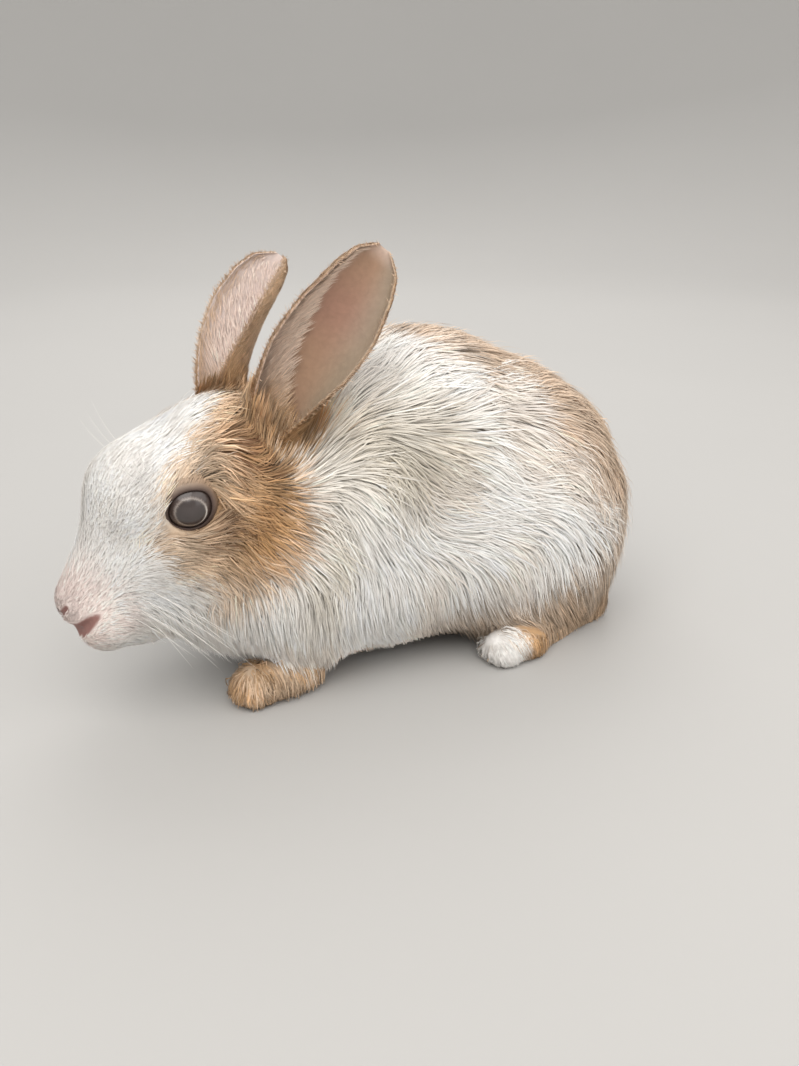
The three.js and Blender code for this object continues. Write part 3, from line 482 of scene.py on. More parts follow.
def markings_and_painted_shade(p):
    """Colour of the coat, as light, at points of the skin: its markings, with painted shade on the neck,
    under the jaw, low on the haunch and on the forelegs.
    """
    broken = 2.2 * ripple(p, 9, 21) + 1.2 * ripple(p, 3.5, 22)
    x, y, z = p.T
    body_place = np.stack([x, -np.abs(y), z], 1)
    head_place = to_head(p)
    head_place[:, 1] = np.abs(head_place[:, 1])
    u, v, w = head_place.T
    region = regions(p)
    head, legs = region["head"], region["legs"]

    creamy = smooth(ripple(p, 20, 23) + 0.5 * ripple(p, 6, 24), 0.1, 1.7) * (1 - 0.8 * head)
    saddle = np.interp(x, SADDLE_X, SADDLE_HALF_WIDTHS) - np.abs(y) + broken
    # Low on the haunch and along the belly's edge: taupe, partly the coat's own fawn and partly painted
    # shade.
    low_haunch_tan_and_shade = smooth(41 - z + 0.15 * (x - 50) + 1.3 * broken, -9, 9) * smooth(x, 2, 30)
    body_layers = [
        (CREAM, 0.5 * creamy),
        # Painted shade: olive grey on the nape behind the ear, and low on the neck beside the cheek.
        (OLIVE_SHADE, 0.75 * spot(body_place, (-10, -34, 88), (26, 22, 11))),
        (OLIVE_SHADE, 0.6 * spot(body_place, (-28, -32, 60), (7, 20, 20))),
        (PEACH, 0.6 * spot(body_place, (46, -46, 74), (10, 14, 6))),
        (CREAM, 0.7 * spot(body_place, (11, -44, 42), (7, 14, 16))),
        (PEACH, 0.95 * smooth(saddle, -9, 7) * smooth(z, 55, 80)),
        (RUMP_TAN, 0.75 * smooth(x + broken, 74, 98)),
        (TAUPE, 0.9 * low_haunch_tan_and_shade),
        (GINGER, 0.3 * smooth(27 - z + broken, -8, 10) * smooth(x, 30, 60)),
        (WHITE, region["tail"] * smooth(50 - z, -10, 10)),
    ]

    outside_blaze = smooth(v - np.interp(u, BLAZE_U, BLAZE_HALF_WIDTHS) + 0.5 * broken, -1.5, 3)
    outside_blaze = np.maximum(outside_blaze, smooth(6 - w, -2, 6) * smooth(v, 8, 16))
    around_eye = spot(head_place, (-6, 19, 2), (12, 11, 10))
    outside_blaze = np.maximum(outside_blaze, smooth(around_eye + 0.05 * broken, 0.3, 0.6))
    above_jaw = smooth(w + 30 + 0.3 * u + broken, -5, 6)
    before_neck = np.maximum(smooth(-31 - x + broken, -4, 6), smooth(z, 90, 97))
    behind_muzzle = smooth(11.5 + 0.2 * (w + 25) - u + 0.8 * broken, -4, 4)
    cheek = head * above_jaw * outside_blaze * before_neck * behind_muzzle
    mane = spot(head_place, (-12, 26, -16), (17, 30, 20)) + 0.7 * spot(head_place, (-28, 18, 4), (10, 14, 12))
    near_ear, _ = beside_ears(p)
    around_ears = near_ear * np.maximum(smooth(-16 - x, -5, 3), 0.25) * smooth(w, -14, -4)
    around_ears = np.maximum(around_ears, smooth(near_ear, 0.75, 0.97))
    patch = np.maximum(cheek, around_ears)
    dark = sum(strength * spot(head_place, centre, radii) for centre, radii, strength in DARK_SPOTS)
    streaks = 0.8 + 0.35 * ripple(p * (0.45, 0.45, 1), 2.6, 26)
    head_layers = [
        (CHEEK_TAN, 0.95 * cheek),
        (GINGER, 1.15 * cheek * mane),
        (FAWN, 0.95 * around_ears),
        (GINGER, 0.6 * around_ears * smooth(ripple(p, 6, 28), -0.6, 0.8)),
        (UMBER, patch * np.clip(dark, 0, 1) * np.clip(streaks, 0, 1)),
        (CREAM, 0.5 * patch * spot(head_place, (-2, 19, 13), (9, 8, 6))),
        (PINK, 0.5 * head * smooth(u, 22, 38) * smooth(w + 9, -3, 3)),
        # Painted shade: olive grey under the jaw.
        (OLIVE_SHADE, 0.55 * head * spot(head_place, (2, 24, -36), (16, 20, 9))),
    ]

    low_paw = smooth(20 - z, -3, 4) * smooth(-6 - x, -4, 4) * smooth(np.abs(y), 12, 20) * (1 - head)
    foreleg = np.maximum(legs * smooth(22 - x, -4, 4), low_paw)
    leg_layers = [
        (FAWN, 0.9 * foreleg),
        (GINGER, 0.6 * foreleg * smooth(0.6 * ripple(p, 5, 27), -0.3, 0.8)),
        # Painted shade: the forelegs and paws are darkened a little with umber, under the chest and the head.
        (UMBER, 0.14 * foreleg),
        (WHITE, 0.95 * legs * smooth(x, 18, 26) * smooth(48 - x, -3, 4)),
        (GINGER, 0.75 * legs * smooth(x, 45, 52) * smooth(z, 1, 6)),
    ]
    return painted(linear(WHITE), body_layers + head_layers + leg_layers)


def nose_share(p):
    """How bare and pink the skin is about the nostrils, the cleft and the mouth."""
    nose = np.min([polyline_distance(p, line) for line in (*NOSTRILS, CLEFT)], axis=0)
    return np.maximum(1 - smooth(nose, 0.8, 1.8), 1 - smooth(mouth_distance(p), 0.3, 1.2))


# The unwrap: twelve sides of the body and the head, and both faces of each ear, in four by four squares.
SQUARE = 0.25
SQUARE_MARGIN = 0.012
SQUARE_INSIDE = SQUARE - 2 * SQUARE_MARGIN
TUFT_PATCH = 0.003
# Length along a side of a square, and the place at its corner, for the body and for the head.
UNWRAP_SPAN = {False: (270, (-125, -70, -6)), True: (120, (-122, -62, 12))}


def in_square(square, place):
    """Places on the unwrap from places, 0 to 1, in numbered squares."""
    corner = np.stack([square % 4, square // 4], -1) * SQUARE + SQUARE_MARGIN
    return corner + SQUARE_INSIDE * place


def unwrapped(p, normals, on_head):
    """Places on the unwrap: each point is laid on the side that its normal faces most."""
    side = np.argmax(np.abs(normals), axis=1)[:, None]
    facing = np.take_along_axis(normals, side, 1) > 0
    square = (2 * side + facing)[:, 0] + 6 * on_head
    flat_axes = np.hstack([np.where(side == 0, 1, 0), np.where(side == 2, 1, 2)])
    place = np.zeros((len(p), 2))
    for head in (False, True):
        span, low = UNWRAP_SPAN[head]
        local = np.clip((p - np.array(low)) / span, 0, 1)
        place = np.where((on_head == head)[:, None], np.take_along_axis(local, flat_axes, 1), place)
    return in_square(square, place)


def unwrapped_ear(side, inner_face, t, s):
    """Places on the unwrap of points of an ear, by their shares of its length and half width."""
    square = np.array(12 + 2 * (side == "right") + int(inner_face))
    return in_square(square, np.stack([0.5 + 0.5 * s, t], -1))


# Meshes
def to_world(p):
    return (np.asarray(p) + SHIFT) * MM


def add_attribute(mesh, name, kind, values):
    """A number or a vector of its own for every point of a mesh."""
    attribute = mesh.attributes.new(name, kind, "POINT")
    key = "value" if kind == "FLOAT" else "vector"
    attribute.data.foreach_set(key, values.astype(np.float32).ravel())


def new_object(name, points, faces, materials, colours=None, places=None, face_material=None):
    """An object of like-sided faces, with colours at its points and places on the unwrap at its corners."""
    mesh = bpy.data.meshes.new(name)
    mesh.vertices.add(len(points))
    mesh.vertices.foreach_set("co", to_world(points).astype(np.float32).ravel())
    mesh.loops.add(faces.size)
    mesh.loops.foreach_set("vertex_index", faces.astype(np.int32).ravel())
    mesh.polygons.add(len(faces))
    mesh.polygons.foreach_set("loop_start", np.arange(0, faces.size, faces.shape[1], dtype=np.int32))
    mesh.polygons.foreach_set("use_smooth", np.ones(len(faces), bool))
    for material in materials:
        mesh.materials.append(material)
    if face_material is not None:
        mesh.polygons.foreach_set("material_index", face_material.astype(np.int32))
    mesh.update(calc_edges=True)
    if colours is not None:
        attribute = mesh.color_attributes.new("coat_colour", "FLOAT_COLOR", "POINT")
        attribute.data.foreach_set("color", np.hstack([colours, np.ones((len(points), 1))]).ravel())
    if places is not None:
        layer = mesh.uv_layers.new(name="OFBake")
        layer.uv.foreach_set("vector", places.astype(np.float32).ravel())
    item = bpy.data.objects.new(name, mesh)
    bpy.context.scene.collection.objects.link(item)
    return item


# Ears
def ear_grids(side):
    """Points of the ear's inner and outer faces and its outward normals, by rows from root to tip."""
    ear = EARS[side]
    t = np.linspace(0, 1, EAR_ROWS)[:, None]
    s = np.linspace(-1, 1, EAR_COLUMNS)[None]
    a, b, c, d = np.array(ear["spine"], float)
    middle = (1 - t) ** 3 * a + 3 * (1 - t) ** 2 * t * b + 3 * (1 - t) * t**2 * c + t**3 * d
    tangent = unit(np.gradient(middle, axis=0))
    opens = along(mix(*np.array(ear["opens"]), t), tangent)
    across = np.cross(tangent, opens)[:, None]
    opens = opens[:, None]
    angle = np.radians(np.interp(t, EAR_SHARES, EAR_HALF_ANGLES))
    curl = 0.9 * smooth(t, 0.55, 0.9) * np.maximum(np.abs(s) - 0.72, 0) / 0.28
    heading = s * angle + np.sign(s) * curl
    step = np.interp(t, EAR_SHARES, EAR_HALF_WIDTHS) * 2 / (EAR_COLUMNS - 1)
    run = np.cumsum(np.cos(heading) * step, 1)
    rise = np.cumsum(np.sin(heading) * step, 1)
    centre = slice(EAR_COLUMNS // 2, EAR_COLUMNS // 2 + 1)
    run, rise = (run - run[:, centre])[..., None], (rise - rise[:, centre])[..., None]
    outward = np.sin(heading)[..., None] * across - np.cos(heading)[..., None] * opens
    wave = 0.5 * np.sin(9 * t + 2.2 * s) * np.abs(s) ** 3
    inner = middle[:, None] + run * across + rise * opens + wave[..., None] * outward
    thickness = EAR_RIM + (EAR_MIDDLE - EAR_RIM) * (1 - s**4) * np.minimum(1, 5 * (1 - t))
    return inner, inner + thickness[..., None] * outward, outward


EAR_GRIDS = {side: ear_grids(side) for side in EARS}


def on_grid(grid, t, s):
    """Values of a grid of rows and columns at shares t from 0 to 1 and s from -1 to 1."""
    rows, columns = grid.shape[:2]
    x = np.clip(t, 0, 1) * (rows - 1)
    y = np.clip(0.5 + 0.5 * s, 0, 1) * (columns - 1)
    i = np.minimum(x.astype(int), rows - 2)
    j = np.minimum(y.astype(int), columns - 2)
    x, y = (x - i)[:, None], (y - j)[:, None]
    top = mix(grid[i, j], grid[i, j + 1], y)
    return mix(top, mix(grid[i + 1, j], grid[i + 1, j + 1], y), x)


def ear_colour(side, t, s):
    """Colour of the short coat on the outside of an ear: flecked fawn, paler and pink along the middle,
    partly pale fur and partly a painted highlight on its ridge.
    """
    front = s * EARS[side]["front"]
    flecks = np.sin(31 * t + 9 * s) * np.sin(47 * s + 13 * t) + 0.5 * np.sin(83 * t + 61 * s)
    return painted(linear(FAWN), [
        (GINGER, 0.7 * (1 - smooth(t, 0.1, 0.55))),
        # Partly pale fur and partly a painted highlight along the ridge of the ear.
        ((230, 210, 196), 0.8 * np.exp(-(((front - 0.1) / 0.5) ** 2)) * smooth(t, 0.25, 0.5)),
        ((160, 122, 92), 0.25 * smooth(flecks, 0.2, 0.9)),
    ])


def inner_ear_colour(side, t, s):
    """Tan and pink in the middle, pale at the front margin; greyer towards the rear margin and darker towards
    the near ear's root as painted shade, pale at the tip as a painted highlight, and the far ear paler all
    over as painted light.
    """
    front = s * EARS[side]["front"]
    is_far = side == "right"
    # The near ear is darker at its root, as painted shade in its cup; the far ear is paler throughout, as
    # painted light.
    return painted(linear((196, 160, 132) if is_far else (150, 114, 96)), [
        ((182, 148, 122), smooth(t, 0.02, 0.35)),
        ((178, 134, 118), 0.6 * np.exp(-(((t - 0.72) / 0.14) ** 2))),
        # Painted shade: greyer towards the rear margin, on the curving wall of the cup.
        ((172, 158, 138), 0.8 * smooth(-front, 0.0, 0.8)),
        # A pale fringe at the front margin, and a painted highlight on the rolled tip.
        ((228, 204, 188), 0.8 * np.maximum(smooth(front, 0.45, 0.95), smooth(t, 0.93, 1))),
        # Painted light: the far ear paler all over.
        ((240, 224, 218), 0.75 * np.full(t.shape, is_far)),
    ])


def ear_mesh(side):
    """Points, quads, colours and places on the unwrap of one closed ear, and which quads are inside it."""
    inner, outer, _ = EAR_GRIDS[side]
    rows, columns = inner.shape[:2]
    size = rows * columns
    t, s = np.meshgrid(np.linspace(0, 1, rows), np.linspace(-1, 1, columns), indexing="ij")
    points = np.concatenate([inner.reshape(-1, 3), outer.reshape(-1, 3)])
    colours = np.concatenate([f(side, t, s).reshape(-1, 3) for f in (inner_ear_colour, ear_colour)])
    places = np.concatenate([unwrapped_ear(side, face, t, s).reshape(-1, 2) for face in (True, False)])
    index = np.arange(size).reshape(rows, columns)
    sheet = np.stack([index[:-1, :-1], index[:-1, 1:], index[1:, 1:], index[1:, :-1]], -1).reshape(-1, 4)
    rim = np.concatenate([index[0, :-1], index[:-1, -1], index[-1, :0:-1], index[:0:-1, 0]])
    after = np.roll(rim, -1)
    edge = np.stack([rim, size + rim, size + after, after], 1)
    quads = np.concatenate([sheet, size + sheet[:, ::-1], edge])
    is_inside = np.concatenate([np.ones(len(sheet)), np.zeros(len(sheet)), np.zeros(len(edge))])
    return points, quads, colours, places, is_inside


# Materials
def add_node(tree, kind, inputs=None, **settings):
    node = tree.nodes.new("ShaderNode" + kind)
    for key, value in settings.items():
        setattr(node, key, value)
    for key, value in (inputs or {}).items():
        if isinstance(value, bpy.types.NodeSocket):
            tree.links.new(value, node.inputs[key])
        else:
            node.inputs[key].default_value = value
    return node


def new_material(name, **inputs):
    material = bpy.data.materials.new(name)
    material.use_nodes = True
    tree = material.node_tree
    shader = tree.nodes["Principled BSDF"]
    for key, value in inputs.items():
        shader.inputs[key.replace("_", " ")].default_value = value
    return material, tree, shader


def attribute_value(tree, name, output="Fac"):
    return add_node(tree, "Attribute", attribute_name=name).outputs[output]


def computed(tree, operation, *values):
    return add_node(tree, "Math", dict(enumerate(values)), operation=operation).outputs[0]


def ranged(tree, value, *limits):
    """The value, laid from between the first two limits to between the last two."""
    return add_node(tree, "MapRange", dict(enumerate((value, *limits)))).outputs[0]


def noise(tree, scale, detail, distortion=0.0, place=None):
    """Noise over the object, or over places that another node gives."""
    if place is None:
        place = add_node(tree, "TexCoord").outputs["Object"]
    inputs = {"Vector": place, "Scale": scale, "Detail": detail, "Distortion": distortion}
    return add_node(tree, "TexNoise", inputs).outputs["Fac"]


def colour_ramp(tree, value, stops):
    """Colours, as light, from stop to stop of the value."""
    ramp = add_node(tree, "ValToRGB", {"Fac": value})
    elements = ramp.color_ramp.elements
    while len(elements) < len(stops):
        elements.new(0.5)
    for element, (position, colour) in zip(elements, stops):
        element.position = position
        element.color = (*colour, 1)
    return ramp.outputs[0]


def own_colour(tree, shader, factor):
    """Gives the shader the mesh's own colours times a factor, and returns them."""
    grey = add_node(tree, "CombineColor", {"Red": factor, "Green": factor, "Blue": factor}).outputs[0]
    inputs = {0: 1.0, 6: attribute_value(tree, "coat_colour", "Color"), 7: grey}
    shade = add_node(tree, "Mix", inputs, data_type="RGBA", blend_type="MULTIPLY").outputs[2]
    tree.links.new(shade, shader.inputs["Base Color"])
    return shade


def add_relief(tree, shader, height, strength):
    relief = add_node(tree, "Bump", {"Height": height, "Strength": strength, "Distance": 0.0003})
    tree.links.new(relief.outputs[0], shader.inputs["Normal"])


def through_light(tree, shader, colour, share):
    """Lets a share of the light through, as thin hair and thin ears do."""
    translucent = add_node(tree, "BsdfTranslucent", {"Color": colour})
    mixed = add_node(tree, "MixShader", {0: share, 1: shader.outputs[0], 2: translucent.outputs[0]})
    tree.links.new(mixed.outputs[0], tree.nodes["Material Output"].inputs["Surface"])


def coat_material():
    """Hair: the coat's colour, darkened a little towards the root as painted shade, with light coming
    through.
    """
    material, tree, shader = new_material("coat_hair", Roughness=0.7, Specular_IOR_Level=0.15)
    streak = ranged(tree, noise(tree, 700.0, 2.0), 0.3, 0.7, 0.97, 1.02)
    # Painted shade: each strand darkens a little towards its root, where the coat shades it.
    depth = ranged(tree, attribute_value(tree, "root_to_tip"), 0.0, 0.7, 0.93, 1.0)
    shade = own_colour(tree, shader, computed(tree, "MULTIPLY", streak, depth))
    through_light(tree, shader, shade, 0.12)
    return material


def skin_material():
    """The skin between the hairs: the coat's colour, with fine pores and short hair as relief."""
    material, tree, shader = new_material("skin", Roughness=0.6, Specular_IOR_Level=0.35)
    pores = noise(tree, 700.0, 4.0)
    own_colour(tree, shader, ranged(tree, pores, 0.3, 0.7, 0.9, 1.0))
    add_relief(tree, shader, pores, 0.3)
    return material


def ear_material():
    """The bare inside of the ears: thin, a little glossy, with faint veins, and light coming through."""
    material, tree, shader = new_material("ear_skin", Roughness=0.55, Specular_IOR_Level=0.35)
    pores = noise(tree, 600.0, 5.0)
    ridge = computed(tree, "ABSOLUTE", computed(tree, "SUBTRACT", noise(tree, 90.0, 3.0, 1.2), 0.5))
    veins = ranged(tree, ridge, 0.0, 0.035, 0.95, 1.0)
    grain = ranged(tree, pores, 0.3, 0.7, 0.92, 1.03)
    shade = own_colour(tree, shader, computed(tree, "MULTIPLY", veins, grain))
    add_relief(tree, shader, pores, 0.25)
    through_light(tree, shader, shade, 0.3)
    return material


def plain_material(name, colour, noise_scale, darkest, **inputs):
    """One colour, clouded by fine noise."""
    material, tree, shader = new_material(name, **inputs)
    stops = [(0.3, linear(colour) * darkest), (0.7, linear(colour))]
    ramp = colour_ramp(tree, noise(tree, noise_scale, 3.0), stops)
    tree.links.new(ramp, shader.inputs["Base Color"])
    return material


COAT = coat_material()
SKIN = skin_material()
EAR_SKIN = ear_material()


# The skin's grid along x, y and z: its ends, its finer spans with their steps, and its step elsewhere.
SKIN_GRID = (
    (-118, 134, ((-118, -94, 0.6), (-94, -34, 0.9)), 1.9),
    (-58, 58, ((-24, 14, 0.7), (-40, 30, 0.9)), 1.6),
    (-4, 128, ((26, 62, 0.7), (62, 104, 0.9)), 1.6),
)


def make_skin():
    """One skin for the whole body, with both ears. Returns the corners of the body's quads."""
    points, quads = surface_net(skin_field, [axis_lines(*line) for line in SKIN_GRID])
    corners = points[quads]
    normals = unit(diagonal_product(corners))
    on_head = regions(corners.mean(1))["head"] > 0.5
    places = np.stack([unwrapped(corners[:, k], normals, on_head) for k in range(4)], 1).reshape(-1, 2)
    # Bare pink skin about the nostrils, the cleft and the mouth, darkened as painted shade in their grooves.
    colours = painted(markings_and_painted_shade(points) * 0.92, [(GROOVE_SHADE_PINK, nose_share(points))])
    faces, inside_ear = [quads], [np.zeros(len(quads))]
    for side in EARS:
        ear_points, ear_quads, ear_colours, ear_places, is_inside = ear_mesh(side)
        faces.append(ear_quads + len(points))
        inside_ear.append(is_inside)
        points = np.concatenate([points, ear_points])
        colours = np.concatenate([colours, ear_colours])
        places = np.concatenate([places, ear_places[ear_quads].reshape(-1, 2)])
    faces, inside_ear = np.concatenate(faces), np.concatenate(inside_ear)
    skin = new_object("skin", points, faces, [SKIN, EAR_SKIN], colours, places, inside_ear)
    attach(skin, "root")
    flesh = ["head", "neck", "torso", "tail"]
    for side in SIDES:
        flesh += [f"{part}_{side}" for part in ("ear", "foreleg", "forepaw", "haunch", "hind_foot")]
    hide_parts(*flesh)
    return corners


# Coat
def varied(colours, amount, draw):
    """Colours made a little brighter or darker, each by itself."""
    return colours * (1 + amount * draw.normal(size=(len(colours), 1)))


def beside_ears(p):
    """How near a point is to the foot of an ear, and which way that ear rises."""
    nearness, rise = np.zeros(len(p)), np.zeros((len(p), 3))
    for ear in EARS.values():
        foot, above = np.array(ear["spine"][0], float), np.array(ear["spine"][1], float)
        distance = limb_distance(p, (foot - 0.3 * (above - foot), above), (0, 0))
        near = 1 - smooth(distance, 11, 22)
        rise = np.where((near > nearness)[:, None], unit(above - foot), rise)
        nearness = np.maximum(near, nearness)
    return nearness, rise


def lie(p, on_head):
    """The way the coat lies at a point, before it is laid along the surface."""
    x, _, z = p.T
    low = 1 - smooth(z, 40, 100)
    rear = smooth(x, 40, 112)
    chest = (1 - smooth(x, -20, 34)) * (1 - smooth(z, 58, 86))
    down = 0.1 + 0.8 * low + 0.8 * rear + 2.4 * chest
    body = unit(np.stack([1 - 0.4 * rear, 0 * x, -down], 1))
    u, _, w = to_head(p).T
    rising = smooth(w + 0.25 * u, -5, 9)
    head = mix(np.array((0.9, 0, -0.45)), -FORWARD, rising[:, None])
    nearness, rise = beside_ears(p)
    head = mix(head, rise, nearness[:, None])
    return mix(body, head, on_head[:, None])


# Corners of a strand's section, across it and up, in half widths, and its width at each step of its path.
STRAND_SECTION = ((-1, -0.08), (1, -0.08), (0, 0.16))
STRAND_PROFILES = {2: (1,), 3: (1, 0.8)}
DARKEST_HAIR = 0.01
BRIGHTEST_HAIR = 0.93


def strand_piece(name, paths, normals, widths, colours, places):
    """Closed three-sided strands with pointed ends, joined and shaded like the surface of the coat."""
    count, steps = len(paths), paths.shape[1] - 1
    heading = unit(np.gradient(paths, axis=1))
    across = unit(np.cross(heading, normals))
    up = np.cross(across, heading)
    lean = np.abs((heading * normals).sum(-1, keepdims=True))
    normals = unit(mix(normals, up, smooth(lean, 0.3, 0.7)))
    half = 0.5 * widths[:, None, None] * np.array(STRAND_PROFILES[steps])[None, :, None]
    middle = slice(1, -1)
    offsets = [(across[:, middle] * a + up[:, middle] * b) * half for a, b in STRAND_SECTION]
    rings = np.stack([paths[:, middle] + offset for offset in offsets], 2).reshape(count, -1, 3)
    points = np.concatenate([paths[:, :1], rings, paths[:, -1:]], 1)
    points[..., 2] = np.maximum(points[..., 2], 0.15)
    bent = np.stack([unit(normals[:, middle] + 0.22 * unit(offset)) for offset in offsets], 2)
    over = np.concatenate([normals[:, :1], bent.reshape(count, -1, 3), normals[:, -1:]], 1)
    under = -np.repeat(normals, [1] + [3] * (steps - 1) + [1], axis=1)
    tip = 3 * (steps - 1) + 1
    faces = []
    for a, b in ((0, 1), (1, 2), (2, 0)):
        faces.append((0, 1 + a, 1 + b))
        for here in range(1, tip - 3, 3):
            faces += [(here + a, here + 3 + a, here + 3 + b), (here + a, here + 3 + b, here + b)]
        faces.append((tip - 3 + a, tip, tip - 3 + b))
    faces = np.array(faces)
    is_under = (np.arange(len(faces)) < len(faces) // 3)[:, None, None]
    shading = np.where(is_under, under[:, faces], over[:, faces])
    faces = (faces[None] + (tip + 1) * np.arange(count)[:, None, None]).reshape(-1, 3)
    shares = np.concatenate([[0], np.repeat(np.arange(1, steps) / steps, 3), [1]])
    sides = np.concatenate([[0.5], np.tile((0, 1, 0.5), steps - 1), [0.5]])
    spread = np.stack([sides, shares], 1) * TUFT_PATCH
    spots = (places[:, None] + spread[None]).reshape(-1, 2)[faces.ravel()]
    colours = np.repeat(np.clip(colours, DARKEST_HAIR, BRIGHTEST_HAIR), tip + 1, 0)
    piece = new_object(name, points.reshape(-1, 3), faces, [COAT], colours, spots)
    add_attribute(piece.data, "root_to_tip", "FLOAT", np.tile(shares, count))
    piece.data.normals_split_custom_set(shading.reshape(-1, 3).astype(np.float32).tolist())
    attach(piece, "root")


def coat_top(p):
    """The outline, raised over the eyeballs and their lids."""
    top = regions(p)["outline"]
    for centre, _, _, _ in EYES.values():
        top = blended(top, np.linalg.norm(p - centre, axis=1) - EYE_RADIUS - 1.6, 3)
    return top


COAT_VOLUME = Volume(coat_top)
SKIN_VOLUME = Volume(coated_skin)


def diagonal_product(corners):
    """The cross product of each quad's diagonals: along its normal, and twice its area long."""
    return np.cross(corners[:, 2] - corners[:, 0], corners[:, 3] - corners[:, 1])


def random_roots(corners, count, spacing, draw):
    """Points spread over the skin's quads, closer together where the spacing is less."""
    area = 0.5 * np.linalg.norm(diagonal_product(corners), axis=1)
    chance = np.cumsum(area / spacing(corners.mean(1)) ** 2)
    quad = np.searchsorted(chance, draw.uniform(0, chance[-1], count))
    a, b = draw.uniform(size=(2, count, 1))
    first, second, third, fourth = corners[quad].transpose(1, 0, 2)
    return mix(mix(first, second, a), mix(fourth, third, a), b)


# Least heights of a hair over the skin, along it and at its tip, and over the floor, and the furthest that
# loose hair stands out past the outline.
HAIR_OVER_SKIN = 0.45
TIP_OVER_SKIN = 0.25
HAIR_OVER_FLOOR = 0.3
LOOSE_REACH = 4


def grown(roots, lengths, steps, draw, lift):
    """Paths that leave the skin and lie along it at chosen heights, and the normals beside them.

    Loose hair hangs instead, under the body and at its lower edge, and is cut where it would stand far out.
    """
    region = regions(roots)
    head, legs = region["head"], region["legs"]
    x, y, z = roots.T
    level, normal, _ = COAT_VOLUME.read(roots)
    depth = coat_depth(roots, region)
    turn = 0.13 * draw.normal(size=len(roots)) + 0.24 * ripple(roots, 18, 31) * (1 - 0.5 * head)
    turn = turn + mix(0.14 * ripple(roots, 8, 34), 0.3 * ripple(roots, 5, 35), head) * (lengths > 8)
    top = -depth * (1 - draw.uniform(size=len(roots)) ** 0.38) + lift
    low_side = smooth(-normal[:, 2], -0.2, 0.55) * smooth(46 - z, 0, 16) * (1 - head)
    fringe = smooth(34 - z, 0, 14) * smooth(x, 36, 52) * smooth(np.abs(y), 18, 28)
    hang = np.maximum(low_side * (1 - legs) * 0.85, 0.7 * fringe)
    nearness, rise = beside_ears(roots)
    reach = LOOSE_REACH * draw.uniform(size=len(roots)) ** 0.8 * (1 - 0.6 * np.abs(normal[:, 1]))
    furthest = np.maximum(lift, reach)
    point, last_value = roots - normal * 0.5, level
    paths, normals = [point], [normal]
    for step in range(1, steps + 1):
        share = step / steps
        way = turned(along(lie(point, head), normal), normal, turn)
        underneath = smooth(-normal[:, 2], -0.3, 0.3) * smooth(50 - point[:, 2], 0, 18)
        loose = np.maximum(hang, 0.9 * underneath * (1 - head) * (1 - legs))
        way = unit(mix(way, np.array((0.2, 0, -1.0)), 0.7 * loose[:, None]))
        way = unit(mix(way, rise + 0.3 * normal, 0.85 * nearness[:, None]))
        moved = point + way * (lengths / steps)[:, None]
        value, normal, slope = COAT_VOLUME.read(moved)
        too_far = (value > furthest) & (loose > 0.25) & (nearness < 0.2)
        kept = np.clip((furthest - last_value) / np.maximum(value - last_value, 0.1), 0.1, 1)
        kept = np.where(too_far, kept, 1)
        point = mix(point, moved, kept[:, None])
        target = mix(level, top, 1 - (1 - share) ** 1.7)
        follow = (target - value) * np.clip(1 - loose - 0.9 * nearness, 0, 1) * (kept == 1)
        over_skin, _, _ = SKIN_VOLUME.read(point)
        follow = np.maximum(follow, (HAIR_OVER_SKIN if step < steps else TIP_OVER_SKIN) - over_skin)
        follow = np.clip(follow, -4, mix(1.6, 3.2, smooth(lengths, 6, 12)))
        point = point + normal * (follow / slope)[:, None]
        point[:, 2] = np.maximum(point[:, 2], HAIR_OVER_FLOOR)
        last_value = value
        paths.append(point)
        normals.append(normal)
    return np.stack(paths, 1), np.stack(normals, 1)


def clumped(paths, spacing, strength, draw):
    """Draws the strands of each lock together towards its middle strand, more so at their tips."""
    roots = paths[:, 0]
    cells = np.floor(roots / spacing[:, None] + draw.uniform(size=3)).astype(int)
    _, guides = np.unique(cells, axis=0, return_index=True)
    tree = KDTree(len(guides))
    for k, guide in enumerate(guides):
        tree.insert(roots[guide], k)
    tree.balance()
    lock = np.array([tree.find(root)[1] for root in roots])
    nearest = guides[lock]
    share = np.linspace(0, 1, paths.shape[1])[None, :, None] ** 1.3
    gap = np.linalg.norm(roots - roots[nearest], axis=1)
    hold = strength * np.exp(-((gap / (1.6 * spacing)) ** 2))
    return mix(paths, paths[nearest] + 0.2 * (paths - paths[nearest]), hold[:, None, None] * share), lock


def clear_of_eyes(paths):
    """Which strands keep out of the openings between the lids."""
    paths = np.concatenate([paths, 0.5 * (paths[:, 1:] + paths[:, :-1])], 1)
    clear = np.ones(len(paths), bool)
    for centre, forward, upward, outward in EYES.values():
        q = paths - centre
        size = np.hypot(q @ forward / LID_HALF_LENGTH, q @ upward / LID_HALF_HEIGHT)
        clear &= ~((size < 1.12) & (q @ outward > 0) & (np.linalg.norm(q, axis=-1) < 20)).any(1)
    return clear


def hair_length(p, region):
    """Length of the hair: longest on the flank and rump, short on the feet, the face and the muzzle."""
    u, _, w = to_head(p).T
    body = mix(25, 20, smooth(-p[:, 0], -10, 40)) * mix(0.8, 1, smooth(p[:, 2], 20, 50))
    cheek = mix(15, 6, smooth(u, -10, 26)) - 2.2 * smooth(u, 30, 40)
    crown = mix(12, 4.2, smooth(u, -26, 14))
    face = mix(cheek, crown, smooth(w, 2, 10))
    face = face + 2.5 * smooth(u, 29, 37) * smooth(-w, 4, 9)
    length = mix(body, face, region["head"])
    length = mix(length, 14, region["tail"])
    length = mix(length, 8.5 + 8 * smooth(p[:, 0], 46, 60), region["legs"])
    nearness, _ = beside_ears(p)
    return mix(length, 12, nearness)


